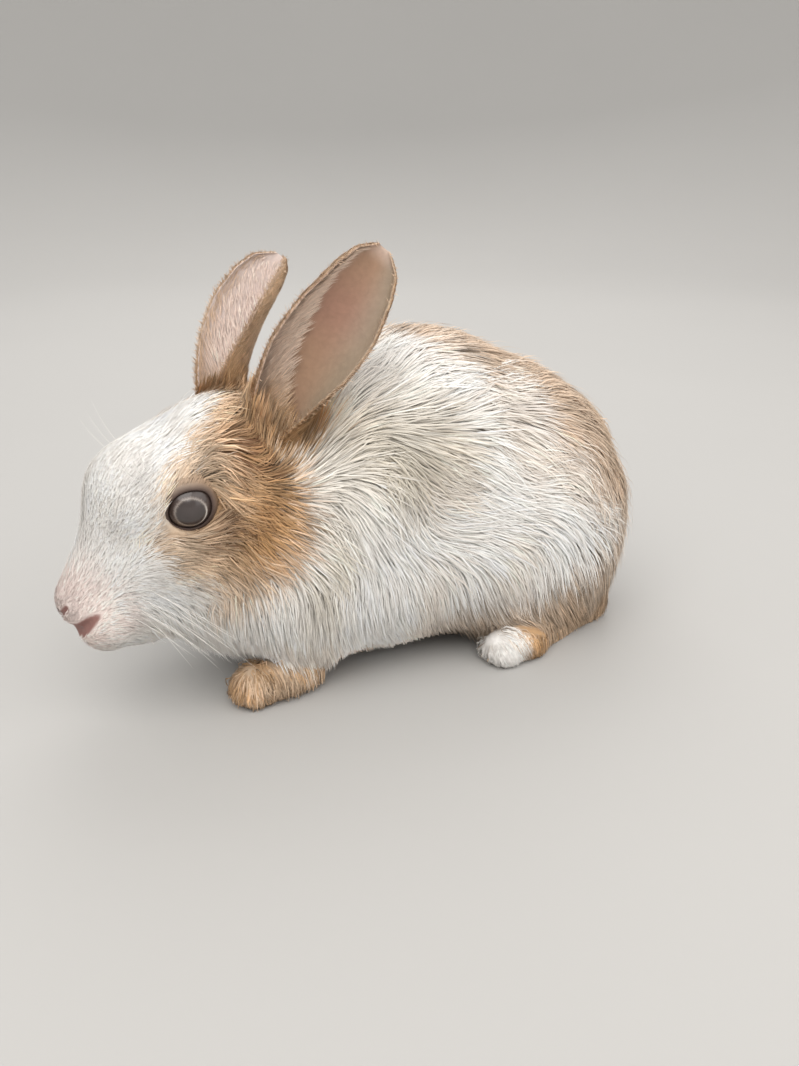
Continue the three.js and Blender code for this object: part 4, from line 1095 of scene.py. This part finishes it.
HAIR_LENGTHS = (3, 6, 12, 27)
HAIR_SPACINGS = (0.46, 0.6, 0.86, 1.08)
HAIR_WIDTHS = (0.24, 0.31, 0.44, 0.56)
COAT_ROOTS = 124000
GUARD_HAIRS = 900
LONG_HAIR = 9
PIECE_TRIANGLES = 190000


def hair_spacing(p):
    """Gap between the roots: less where the hair is short, more under the belly, where it isn't seen."""
    region = regions(p)
    hidden = smooth(-p[:, 2], -15, -8) * (1 - region["legs"]) * smooth(36 - np.abs(p[:, 1]), 0, 8)
    return np.interp(hair_length(p, region), HAIR_LENGTHS, HAIR_SPACINGS) * (1 + hidden)


def make_coat(corners):
    """The coat of the body, the head and the feet, in pieces, over skin with these corners of its quads."""
    draw = np.random.default_rng(SEED)
    roots = random_roots(corners, COAT_ROOTS, hair_spacing, draw)
    keep = (nose_share(roots) < 0.6) & (roots[:, 2] > 0.8)
    for centre, _, _, outward in EYES.values():
        from_eye = np.linalg.norm(roots - centre, axis=1)
        keep &= (from_eye > EYE_RADIUS + 1.4) | ((roots - centre) @ outward < 0.45 * from_eye)
    roots = roots[keep]
    region = regions(roots)
    head, legs = region["head"], region["legs"]
    count = len(roots)
    lengths = hair_length(roots, region) * draw.uniform(0.7, 1.15, count)
    long = lengths > LONG_HAIR
    guard = long & (draw.uniform(size=count) < GUARD_HAIRS / count * 2)
    stray = (draw.uniform(size=count) < 0.05 * (1 - 0.8 * head)) & long | guard
    lift = np.where(stray, draw.uniform(0.8, 2.6, count), 0.0)
    fuzz = (0.35 * head + 0.9 * legs) * draw.uniform(0, 1, count) ** 5
    lift = np.where(long, lift, fuzz) + 0.5 * legs
    lengths = lengths * np.where(guard, 1.2, 1)
    colours = markings_and_painted_shade(roots + draw.normal(size=roots.shape) * 1.2)
    darkness = 1 - colours.mean(1) / linear(WHITE).mean()
    scatter = mix(0.035, 0.2, np.clip(1.6 * darkness, 0, 1)) + 0.02 * head
    _, normals, _ = COAT_VOLUME.read(roots)
    places = unwrapped(roots, normals, head > 0.5)
    for name, chosen, steps in (("long", long, 3), ("short", ~long, 2)):
        which = np.flatnonzero(chosen)
        paths, path_normals = grown(roots[which], lengths[which], steps, draw, lift[which])
        spacing = np.interp(lengths[which], (3, 12, 27), (1.5, 3.0, 4.2))
        paths, small_lock = clumped(paths, 0.45 * spacing, 0.18 * (1 - 0.7 * head[which]), draw)
        firm = np.clip(0.2 + 0.25 * ripple(paths[:, 0], 20, 43), 0.04, 0.7)
        firm = firm * np.where(stray[which], 0.1, 1) * (1 - 0.75 * head[which] * (steps == 2))
        paths, lock = clumped(paths, spacing, firm, draw)
        tone = draw.normal(size=lock.max() + 1)[lock]
        tone = 0.8 * (tone + 0.6 * draw.normal(size=small_lock.max() + 1)[small_lock])
        tone = tone + 0.5 * draw.normal(size=len(which)) + 0.8 * ripple(roots[which], 6, 41)
        shades = colours[which] * (1 + scatter[which] * tone + 0.12 * guard[which])[:, None]
        good = clear_of_eyes(paths)
        paths, path_normals, which, shades = paths[good], path_normals[good], which[good], shades[good]
        widths = np.interp(lengths[which], HAIR_LENGTHS, HAIR_WIDTHS)
        widths = widths * draw.uniform(0.7, 1.25, len(which)) * mix(1, 0.8, guard[which])
        order = np.argsort(paths[:, 0, 0], kind="stable")
        parts = int(np.ceil(len(paths) * 6 * (steps - 1) / PIECE_TRIANGLES))
        for number, part in enumerate(np.array_split(order, parts), 1):
            strand_piece(
                f"coat_{name}_{number}", paths[part], path_normals[part], widths[part], shades[part],
                places[which[part]],
            )


def ear_paths(side, face, t, s, lengths, slant, height):
    """Paths of hairs on a face of an ear, running to its tip and sideways by the slant, and their normals."""
    inner, outer, outward = EAR_GRIDS[side]
    base, sign = (outer, 1) if face == "outer" else (inner, -1)
    half = np.maximum(np.interp(t, EAR_SHARES, EAR_HALF_WIDTHS), 4)
    paths, normals = [], []
    for share in (0, 0.5, 1):
        rows = t + share * lengths * np.cos(slant) / EAR_LENGTH
        columns = np.clip(s + share * lengths * np.sin(slant) / half, -1, 1)
        over = np.maximum(rows - 1, 0) * EAR_LENGTH
        normal = sign * unit(on_grid(outward, rows, columns))
        low_row = np.minimum(rows, 0.98)
        tangent = unit(on_grid(base, low_row + 0.02, columns) - on_grid(base, low_row, columns))
        rise = height * np.sqrt(share) - 0.3 * (share == 0)
        paths.append(on_grid(base, rows, columns) + normal * rise[:, None] + tangent * over[:, None])
        normals.append(normal)
    return np.stack(paths, 1), np.stack(normals, 1)


EAR_HAIRS = 9000
EAR_FRINGE_HAIRS = 4200
EAR_RIM_HAIRS = 2600


def make_ear_coat(side):
    """Short hair on the back of an ear, longer at its root, a pale fringe inside it and hair on its rim."""
    draw = np.random.default_rng(SEED + 1 + (side == "right"))
    front = EARS[side]["front"]
    is_far = side == "right"

    count = EAR_HAIRS
    t = draw.uniform(0.0, 0.975, count)
    s = draw.uniform(-1, 1, count)
    lengths = np.interp(t, (0, 0.15, 0.35, 0.9, 1), (13, 10, 5, 3, 1.8)) * draw.uniform(0.7, 1.2, count)
    height = np.interp(t, (0, 0.2, 0.4), (3.0, 1.6, 0.6)) * draw.uniform(0.2, 1.1, count)
    paths, normals = ear_paths(side, "outer", t, s, lengths, 0.25 * draw.normal(size=count), height)
    paths, lock = clumped(paths, np.interp(lengths, (3, 12), (1.4, 3.2)), np.full(count, 0.5), draw)
    tone = draw.normal(size=lock.max() + 1)[lock] + 0.8 * draw.normal(size=count)
    colours = ear_colour(side, t, s) * (1 + 0.11 * tone[:, None])
    widths = np.interp(lengths, (3, 12), (0.3, 0.44))
    strand_piece(f"coat_ear_{side}_1", paths, normals, widths, colours, unwrapped_ear(side, False, t, s))

    count = EAR_FRINGE_HAIRS
    t = 0.93 * draw.uniform(0, 1, count) ** 1.7
    reach = 1.9 if is_far else np.interp(t, (0, 0.15, 0.3, 0.7, 1), (1.6, 0.9, 0.55, 0.36, 0.16))
    s = front * (1 - reach * draw.uniform(size=count) ** 1.4)
    lengths = np.interp(t, (0, 0.2, 0.5, 0.9), (14, 12, 7.5, 3.5)) * draw.uniform(0.6, 1.2, count)
    slant = -front * draw.uniform(0.1, 0.8, count)
    height = np.interp(t, (0, 0.3, 0.9), (3.2, 2.2, 0.9)) * draw.uniform(0.2, 1, count)
    paths, normals = ear_paths(side, "inner", t, s, lengths, slant, height)
    paths, _ = clumped(paths, np.full(count, 2.4), np.full(count, 0.6), draw)
    ginger = 1 - smooth(t + 0.06 * draw.normal(size=count), 0.0, 0.28)
    colours = painted(linear((238, 218, 206) if is_far else (222, 200, 182)), [
        (FAWN, 0.85 * np.maximum(1 - smooth(t, 0.1, 0.4), smooth(np.abs(s), 0.5, 0.95) * is_far)),
        (GINGER, (0.3 if is_far else 0.75) * ginger),
    ])
    colours = varied(colours, 0.12, draw)
    widths = np.interp(lengths, (3, 12), (0.24, 0.34))
    strand_piece(f"coat_ear_{side}_2", paths, normals, widths, colours, unwrapped_ear(side, True, t, s))

    count = EAR_RIM_HAIRS
    t = draw.uniform(0.03, 1, count)
    s = np.where(draw.uniform(size=count) < 0.4, -front, front) * draw.uniform(0.95, 1, count)
    inner, outer, outward = EAR_GRIDS[side]
    rim = mix(on_grid(inner, t, s), on_grid(outer, t, s), draw.uniform(size=(count, 1)))
    beyond = unit(rim - on_grid(inner, t, 0.8 * s))
    low_row = np.minimum(t, 0.97)
    rising = unit(on_grid(inner, low_row + 0.03, s) - on_grid(inner, low_row, s))
    way = unit(0.7 * beyond + rising * (1 - smooth(t, 0.9, 1))[:, None] + 0.45 * draw.normal(size=(count, 3)))
    lengths = np.interp(t, (0, 0.3, 0.8, 1), (5, 2.6, 2.2, 1.3)) * draw.uniform(0.5, 1.4, count)
    paths = np.stack([rim + way * (lengths * share)[:, None] for share in (-0.2, 0.4, 1)], 1)
    normals = np.repeat(unit(on_grid(outward, t, s))[:, None], 3, 1)
    colours = painted(linear((214, 190, 166)), [(GINGER, 0.8 * (1 - smooth(t, 0.1, 0.5)))])
    colours = varied(colours, 0.14, draw)
    widths = np.full(count, 0.22)
    strand_piece(f"coat_ear_{side}_3", paths, normals, widths, colours, unwrapped_ear(side, False, t, s))


# Lids and eyes
def eye_ways(side, turn):
    """Ways square to an eye's axis, at angles that run from its forward way up."""
    _, forward, upward, _ = EYES[side]
    return np.cos(turn)[:, None] * forward + np.sin(turn)[:, None] * upward


def ring_grid(points):
    """Quads of a grid of rings, closed round each ring and from the last ring to the first."""
    rings, columns = points.shape[:2]
    index = np.arange(rings * columns).reshape(rings, columns)
    right, below = np.roll(index, -1, 1), np.roll(index, -1, 0)
    return np.stack([index, right, np.roll(right, -1, 0), below], -1).reshape(-1, 4)


def lid_angle(turn):
    """Angle from the eye's axis to the lid's edge, round the almond opening."""
    length = LID_HALF_LENGTH * (1 + 0.06 * np.abs(np.cos(turn)) ** 6)
    reach = 1 / np.sqrt((np.cos(turn) / length) ** 2 + (np.sin(turn) / LID_HALF_HEIGHT) ** 2)
    return np.arcsin(np.clip(reach / EYE_RADIUS, 0, 0.98))


# Height over the ball and angle past the edge of each ring of a lid, from the wet margin outwards and
# back, and how far its colour is that of the coat.
LID_RINGS = (
    (0.1, 0.0, 0.0), (0.55, -0.02, 0.0), (0.95, 0.02, 0.06), (1.25, 0.1, 0.2), (1.35, 0.22, 0.45),
    (1.25, 0.36, 0.7), (0.9, 0.5, 0.9), (0.2, 0.62, 1.0), (-0.5, 0.7, 1.0), (-0.3, 0.45, 1.0),
    (0.0, 0.2, 0.5), (0.06, 0.06, 0.2),
)
LID_HAIRS = 2600


def make_lids(side):
    """A closed rounded ring about the eye, dark and wet at its margin."""
    centre, _, _, outward = EYES[side]
    turn = np.linspace(0, 2 * pi, 96, endpoint=False)
    ways = eye_ways(side, turn)
    rings = []
    for height, past, _ in LID_RINGS:
        angle = (lid_angle(turn) + past)[:, None]
        radius = EYE_RADIUS + height + 0.06 * np.sin(7 * turn + 3 * past) * (past > 0.05)
        rings.append(centre + radius[:, None] * (np.cos(angle) * outward + np.sin(angle) * ways))
    points = np.concatenate(rings)
    furred = np.repeat([share for _, _, share in LID_RINGS], len(turn))
    colours = mix(linear((84, 68, 62)), markings_and_painted_shade(points) * 0.85, furred[:, None])
    quads = ring_grid(np.stack(rings))[:, :: -SIDES[side]]
    lids = new_object(f"lids_{side}", points, quads, [SKIN], colours)
    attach(lids, "root")


def make_lid_hairs(side):
    """Short hairs over the lids and round them, lying away from the opening and back."""
    draw = np.random.default_rng(SEED + 7 + (side == "right"))
    centre, forward, upward, outward = EYES[side]
    turn = draw.uniform(0, 2 * pi, LID_HAIRS)
    past = draw.uniform(0.16, 0.75, LID_HAIRS)
    ways = eye_ways(side, turn)
    angle = (lid_angle(turn) + past)[:, None]
    normal = np.cos(angle) * outward + np.sin(angle) * ways
    height = EYE_RADIUS + 1.3 - 1.2 * smooth(past, 0.45, 0.75)
    roots = centre + height[:, None] * normal
    away = -np.sin(angle) * outward + np.cos(angle) * ways
    way = along(0.75 * away - 0.7 * forward - 0.1 * upward, normal)
    lengths = (mix(1.8, 4.5, smooth(past, 0.16, 0.7)) * draw.uniform(0.7, 1.3, LID_HAIRS))[:, None]
    rise = 0.25 * lengths * draw.uniform(0.4, 1.5, (LID_HAIRS, 1))
    sink = 0.35 * lengths * smooth(angle, 0.9, 1.5)
    paths = [roots + lengths * way * t + rise * normal * t - sink * outward * t**2 for t in (0, 0.5, 1)]
    paths = np.stack(paths, 1)
    good = clear_of_eyes(paths)
    dark = ((150, 124, 106), 0.55 * (1 - smooth(past, 0.2, 0.55)))
    colours = painted(varied(markings_and_painted_shade(roots), 0.16, draw), [dark])
    places = unwrapped(roots, normal, np.ones(LID_HAIRS, bool))
    normals = np.repeat(normal[:, None], 3, 1)
    widths = np.full(good.sum(), 0.24)
    strand_piece(f"coat_lids_{side}", paths[good], normals[good], widths, colours[good], places[good])


def eye_material():
    """A dark pupil, a grey-brown iris with fine spokes, a dark rim and a painted highlight on the ring's
    lower rear side, all wet.
    """
    material, tree, shader = new_material(
        "eye", Roughness=0.3, Specular_IOR_Level=0.4, Coat_Weight=0.5, Coat_Roughness=0.05
    )
    from_axis = attribute_value(tree, "from_axis")
    fibres = noise(tree, 14.0, 4.0, place=attribute_value(tree, "spokes", "Vector"))
    place = computed(tree, "ADD", from_axis, ranged(tree, fibres, 0.3, 0.7, -0.02, 0.02))
    stops = [
        (0.0, (70, 62, 60)), (0.5, (62, 54, 52)), (0.54, (92, 83, 78)), (0.575, (140, 130, 123)),
        (0.61, (112, 100, 93)), (0.65, (66, 54, 50)), (0.78, (58, 46, 42)), (1.0, (84, 70, 64)),
    ]
    iris = colour_ramp(tree, place, [(position, linear(colour)) for position, colour in stops])
    # A painted highlight: a pale arc of colour along the ring of the iris, on its lower rear side.
    from_ring = computed(tree, "ABSOLUTE", computed(tree, "SUBTRACT", from_axis, 0.585))
    band = ranged(tree, from_ring, 0.01, 0.04, 0.8, 0.0)
    painted_highlight = computed(tree, "MULTIPLY", band, attribute_value(tree, "painted_highlight_side"))
    pale = (*linear((226, 220, 212)), 1)
    shade = add_node(tree, "Mix", {0: painted_highlight, 6: iris, 7: pale}, data_type="RGBA").outputs[2]
    tree.links.new(shade, shader.inputs["Base Color"])
    return material


EYE = eye_material()


def make_eye(side):
    """The ball with its bulging cornea, and the values at its points that its material reads."""
    centre, forward, upward, outward = EYES[side]
    rows, columns = 48, 72
    angle = np.linspace(0.02, pi - 0.02, rows)[:, None, None]
    turn = np.linspace(0, 2 * pi, columns, endpoint=False)
    radius = EYE_RADIUS - 0.05 + CORNEA_BULGE * np.exp(-((angle / 0.55) ** 2))
    grid = centre + radius * (np.cos(angle) * outward + np.sin(angle) * eye_ways(side, turn)[None])
    poles = [centre + outward * (EYE_RADIUS + 0.3), centre - outward * EYE_RADIUS]
    points = np.concatenate([grid.reshape(-1, 3), poles])
    front, back = len(points) - 2, len(points) - 1
    index = np.arange(rows * columns).reshape(rows, columns)
    right = np.roll(index, -1, 1)
    quads = np.stack([index[:-1], index[1:], right[1:], right[:-1]], -1).reshape(-1, 4)
    faces = np.concatenate([
        quads[:, :3],
        quads[:, [0, 2, 3]],
        np.stack([np.full(columns, front), index[0], right[0]], -1),
        np.stack([np.full(columns, back), right[-1], index[-1]], -1),
    ])
    eye = new_object(f"eyeball_{side}", points, faces[:, :: SIDES[side]], [EYE])
    q = points - centre
    from_axis = np.where(q @ outward > 0, np.hypot(q @ forward, q @ upward) / EYE_RADIUS, 1)
    ring = unit(np.stack([q @ forward, q @ upward], 1))
    # Where round the ring the painted highlight is strongest: low and to the rear.
    painted_highlight = np.maximum(ring @ unit((-0.45, -0.9)), 0) ** 4
    add_attribute(eye.data, "from_axis", "FLOAT", from_axis)
    add_attribute(eye.data, "spokes", "FLOAT_VECTOR", np.hstack([ring, 0.15 * from_axis[:, None]]))
    add_attribute(eye.data, "painted_highlight_side", "FLOAT", painted_highlight)
    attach(eye, "root")
    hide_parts(f"eye_{side}")


# Whiskers and claws
def tapered_tubes(name, paths, radii, material, sides):
    """Closed round tubes along paths, tapering to points."""
    count, steps = len(paths), paths.shape[1] - 1
    heading = unit(np.gradient(paths, axis=1))
    first = unit(np.cross(heading, np.array((0.13, 0.27, 0.95))))
    second = np.cross(heading, first)
    turn = np.linspace(0, 2 * pi, sides, endpoint=False)
    circle = np.cos(turn)[:, None] * first[:, :-1, None] + np.sin(turn)[:, None] * second[:, :-1, None]
    rings = paths[:, :-1, None] + radii[:, :, None, None] * circle
    points = np.concatenate([rings.reshape(count, -1, 3), paths[:, -1:]], 1)
    faces = [(0, k + 1, k) for k in range(1, sides - 1)]
    for ring in range(steps - 1):
        for k in range(sides):
            a, b = ring * sides + k, ring * sides + (k + 1) % sides
            faces += [(a, b, b + sides), (a, b + sides, a + sides)]
    last = (steps - 1) * sides
    faces += [(last + k, last + (k + 1) % sides, steps * sides) for k in range(sides)]
    each = steps * sides + 1
    faces = (np.array(faces)[None] + each * np.arange(count)[:, None, None]).reshape(-1, 3)
    piece = new_object(name, points.reshape(-1, 3), faces, [material])
    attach(piece, "root")


WHISKER_STEPS = 12
CLAW_STEPS = 8
CLAW_LENGTH = 3.2
CLAW_RADIUS = 0.7
TOES_HALF_WIDTH = 7.6


def make_whiskers():
    """Four rows of whiskers on each side of the muzzle and three hairs over each eye."""
    draw = np.random.default_rng(SEED + 5)
    material = plain_material("whisker", (240, 236, 230), 300.0, 0.85, Roughness=0.4)
    share = np.linspace(0, 1, WHISKER_STEPS + 1)[:, None]
    paths, radii = [], []

    def add(start, way, outward, length, bend, radius):
        """A whisker that leaves the skin where a ray from the start comes out."""
        root = surface_from(start, way, coated_skin)
        heading = unit(outward + share * bend)
        step = length / WHISKER_STEPS
        paths.append(root + np.cumsum(heading, 0) * step - heading[0] * (step + 1))
        radii.append(radius * (1 - share[:-1, 0] ** 1.5 * 0.85))

    for sign in (1, -1):
        for row, column in product(range(4), range(4)):
            way = np.array((0.5 - 0.2 * column, sign, 0.05 - 0.2 * row)) + draw.normal(size=3) * 0.05
            outward = np.array((0.72, -0.42 * sign, -0.42 - 0.12 * row)) + draw.normal(size=3) * 0.07
            bend = np.array((0.1, 0.1 * sign, -0.35)) * draw.uniform(0.3, 1.2)
            add((24, 0, -8), way, outward, draw.uniform(20, 31) + 3 * column, bend, 0.085)
        for k in range(3):
            outward = unit((0.15 - 0.12 * k, sign * 0.75, 0.85)) @ HEAD_AXES
            way = (0.25 - 0.1 * k, sign * 0.95, 0.85)
            add((-3, 0, 1), way, outward, draw.uniform(14, 20), -0.4 * FORWARD, 0.05)
    paths = np.stack(paths)
    paths[..., 2] = np.maximum(paths[..., 2], 0.5)
    tapered_tubes("whiskers", paths, np.stack(radii), material, 5)


def make_claws():
    """Four claws on each foot, bending down."""
    material = plain_material("claw", (214, 190, 166), 400.0, 0.8, Roughness=0.35, Coat_Weight=0.3)
    paths, radii = [], []
    share = np.linspace(0, 1, CLAW_STEPS + 1)[:, None]
    drop = np.array((0, 0, -3.4)) * share**1.8
    for side, y in SIDES.items():
        # Middle of each foot's front end, and how far its toes reach before it.
        feet = (((-38 + FORELEG_SETBACK[side], 22 * y, 5.2), 14.5), ((50, 41 * y, 5), 10.5))
        for middle, half_length in feet:
            for spread in (-1, -1 / 3, 1 / 3, 1):
                offset = (-half_length * np.sqrt(1 - 0.45 * spread**2), 0.7 * TOES_HALF_WIDTH * spread, 0)
                forward = np.array((-1, 0.25 * spread, 0)) * CLAW_LENGTH
                paths.append(np.array(middle) + offset + forward * share + drop)
                radii.append(CLAW_RADIUS * (1 - share[:-1, 0] ** 1.4 * 0.8))
    paths = np.stack(paths)
    paths[..., 2] = np.maximum(paths[..., 2], 0.9)
    tapered_tubes("claws", paths, np.stack(radii), material, 8)


def look_from(item, place, back):
    """Puts a lamp or the camera at a place of the world, with its back to the way given."""
    right = unit(np.cross((0, 0, 1), back))
    matrix = np.eye(4)
    matrix[:3, :3] = np.array((right, np.cross(back, right), back)).T
    matrix[:3, 3] = place
    item.matrix_world = Matrix(matrix.tolist())
    bpy.context.scene.collection.objects.link(item)


# Name, place in metres, width, power and colour of each lamp.
LAMPS = (
    ("key", (-0.5, -0.6, 1.05), 1.3, 13.0, (1.0, 0.985, 0.965)),
    ("fill", (0.75, -0.85, 0.55), 1.3, 6.0, (1.0, 0.99, 0.98)),
    ("back", (0.4, 0.8, 0.9), 1.0, 6.0, (1.0, 0.99, 0.98)),
)
FLOOR_RADIUS = 1000


def make_stage():
    """A round pale floor that curves up into its backdrop, and soft lamps."""
    material = plain_material("floor", (176, 174, 171), 3.0, 0.98, Roughness=0.85)
    curve = np.linspace(0, pi / 2, 17)[1:]
    radius = np.concatenate([[0.01, 300, FLOOR_RADIUS], FLOOR_RADIUS * (1 + np.sin(curve))])
    height = np.concatenate([[0, 0, 0], FLOOR_RADIUS * (1 - np.cos(curve))])
    turn = np.linspace(0, 2 * pi, 128, endpoint=False)
    ring = np.stack([np.cos(turn), np.sin(turn)], 1)
    points = np.stack([np.column_stack([r * ring, np.full(len(turn), h)]) for r, h in zip(radius, height)])
    quads = ring_grid(points)[: -len(turn)][:, ::-1]
    new_object("floor", points.reshape(-1, 3), quads, [material])
    for name, place, size, power, colour in LAMPS:
        light = bpy.data.lights.new(name, "AREA")
        light.size, light.energy, light.color = size, power, colour
        look_from(bpy.data.objects.new(name, light), place, unit(np.array(place) - (0, 0, 0.06)))
    world = bpy.data.worlds.new("studio")
    world.use_nodes = True
    world.node_tree.nodes["Background"].inputs["Color"].default_value = (0.88, 0.875, 0.865, 1)
    scene = bpy.context.scene
    scene.world = world
    scene.view_settings.view_transform = "Standard"
    scene.view_settings.exposure = 0.03


def make_camera():
    a, e = CAMERA_AZIMUTH, CAMERA_ELEVATION
    back = np.array((sin(a) * cos(e), -cos(a) * cos(e), sin(e)))
    data = bpy.data.cameras.new("camera")
    data.sensor_fit = "AUTO"
    data.sensor_width = SENSOR_WIDTH
    data.lens = SENSOR_WIDTH * FOCAL_PIXELS / PHOTO_HEIGHT
    data.clip_start = 0.01
    camera = bpy.data.objects.new("camera", data)
    look_from(camera, to_world(CAMERA_TARGET + CAMERA_DISTANCE * back), back)
    bpy.context.scene.camera = camera


make_camera()
make_stage()
make_coat(make_skin())
for side_name in SIDES:
    make_ear_coat(side_name)
    make_lids(side_name)
    make_lid_hairs(side_name)
    make_eye(side_name)
make_whiskers()
make_claws()
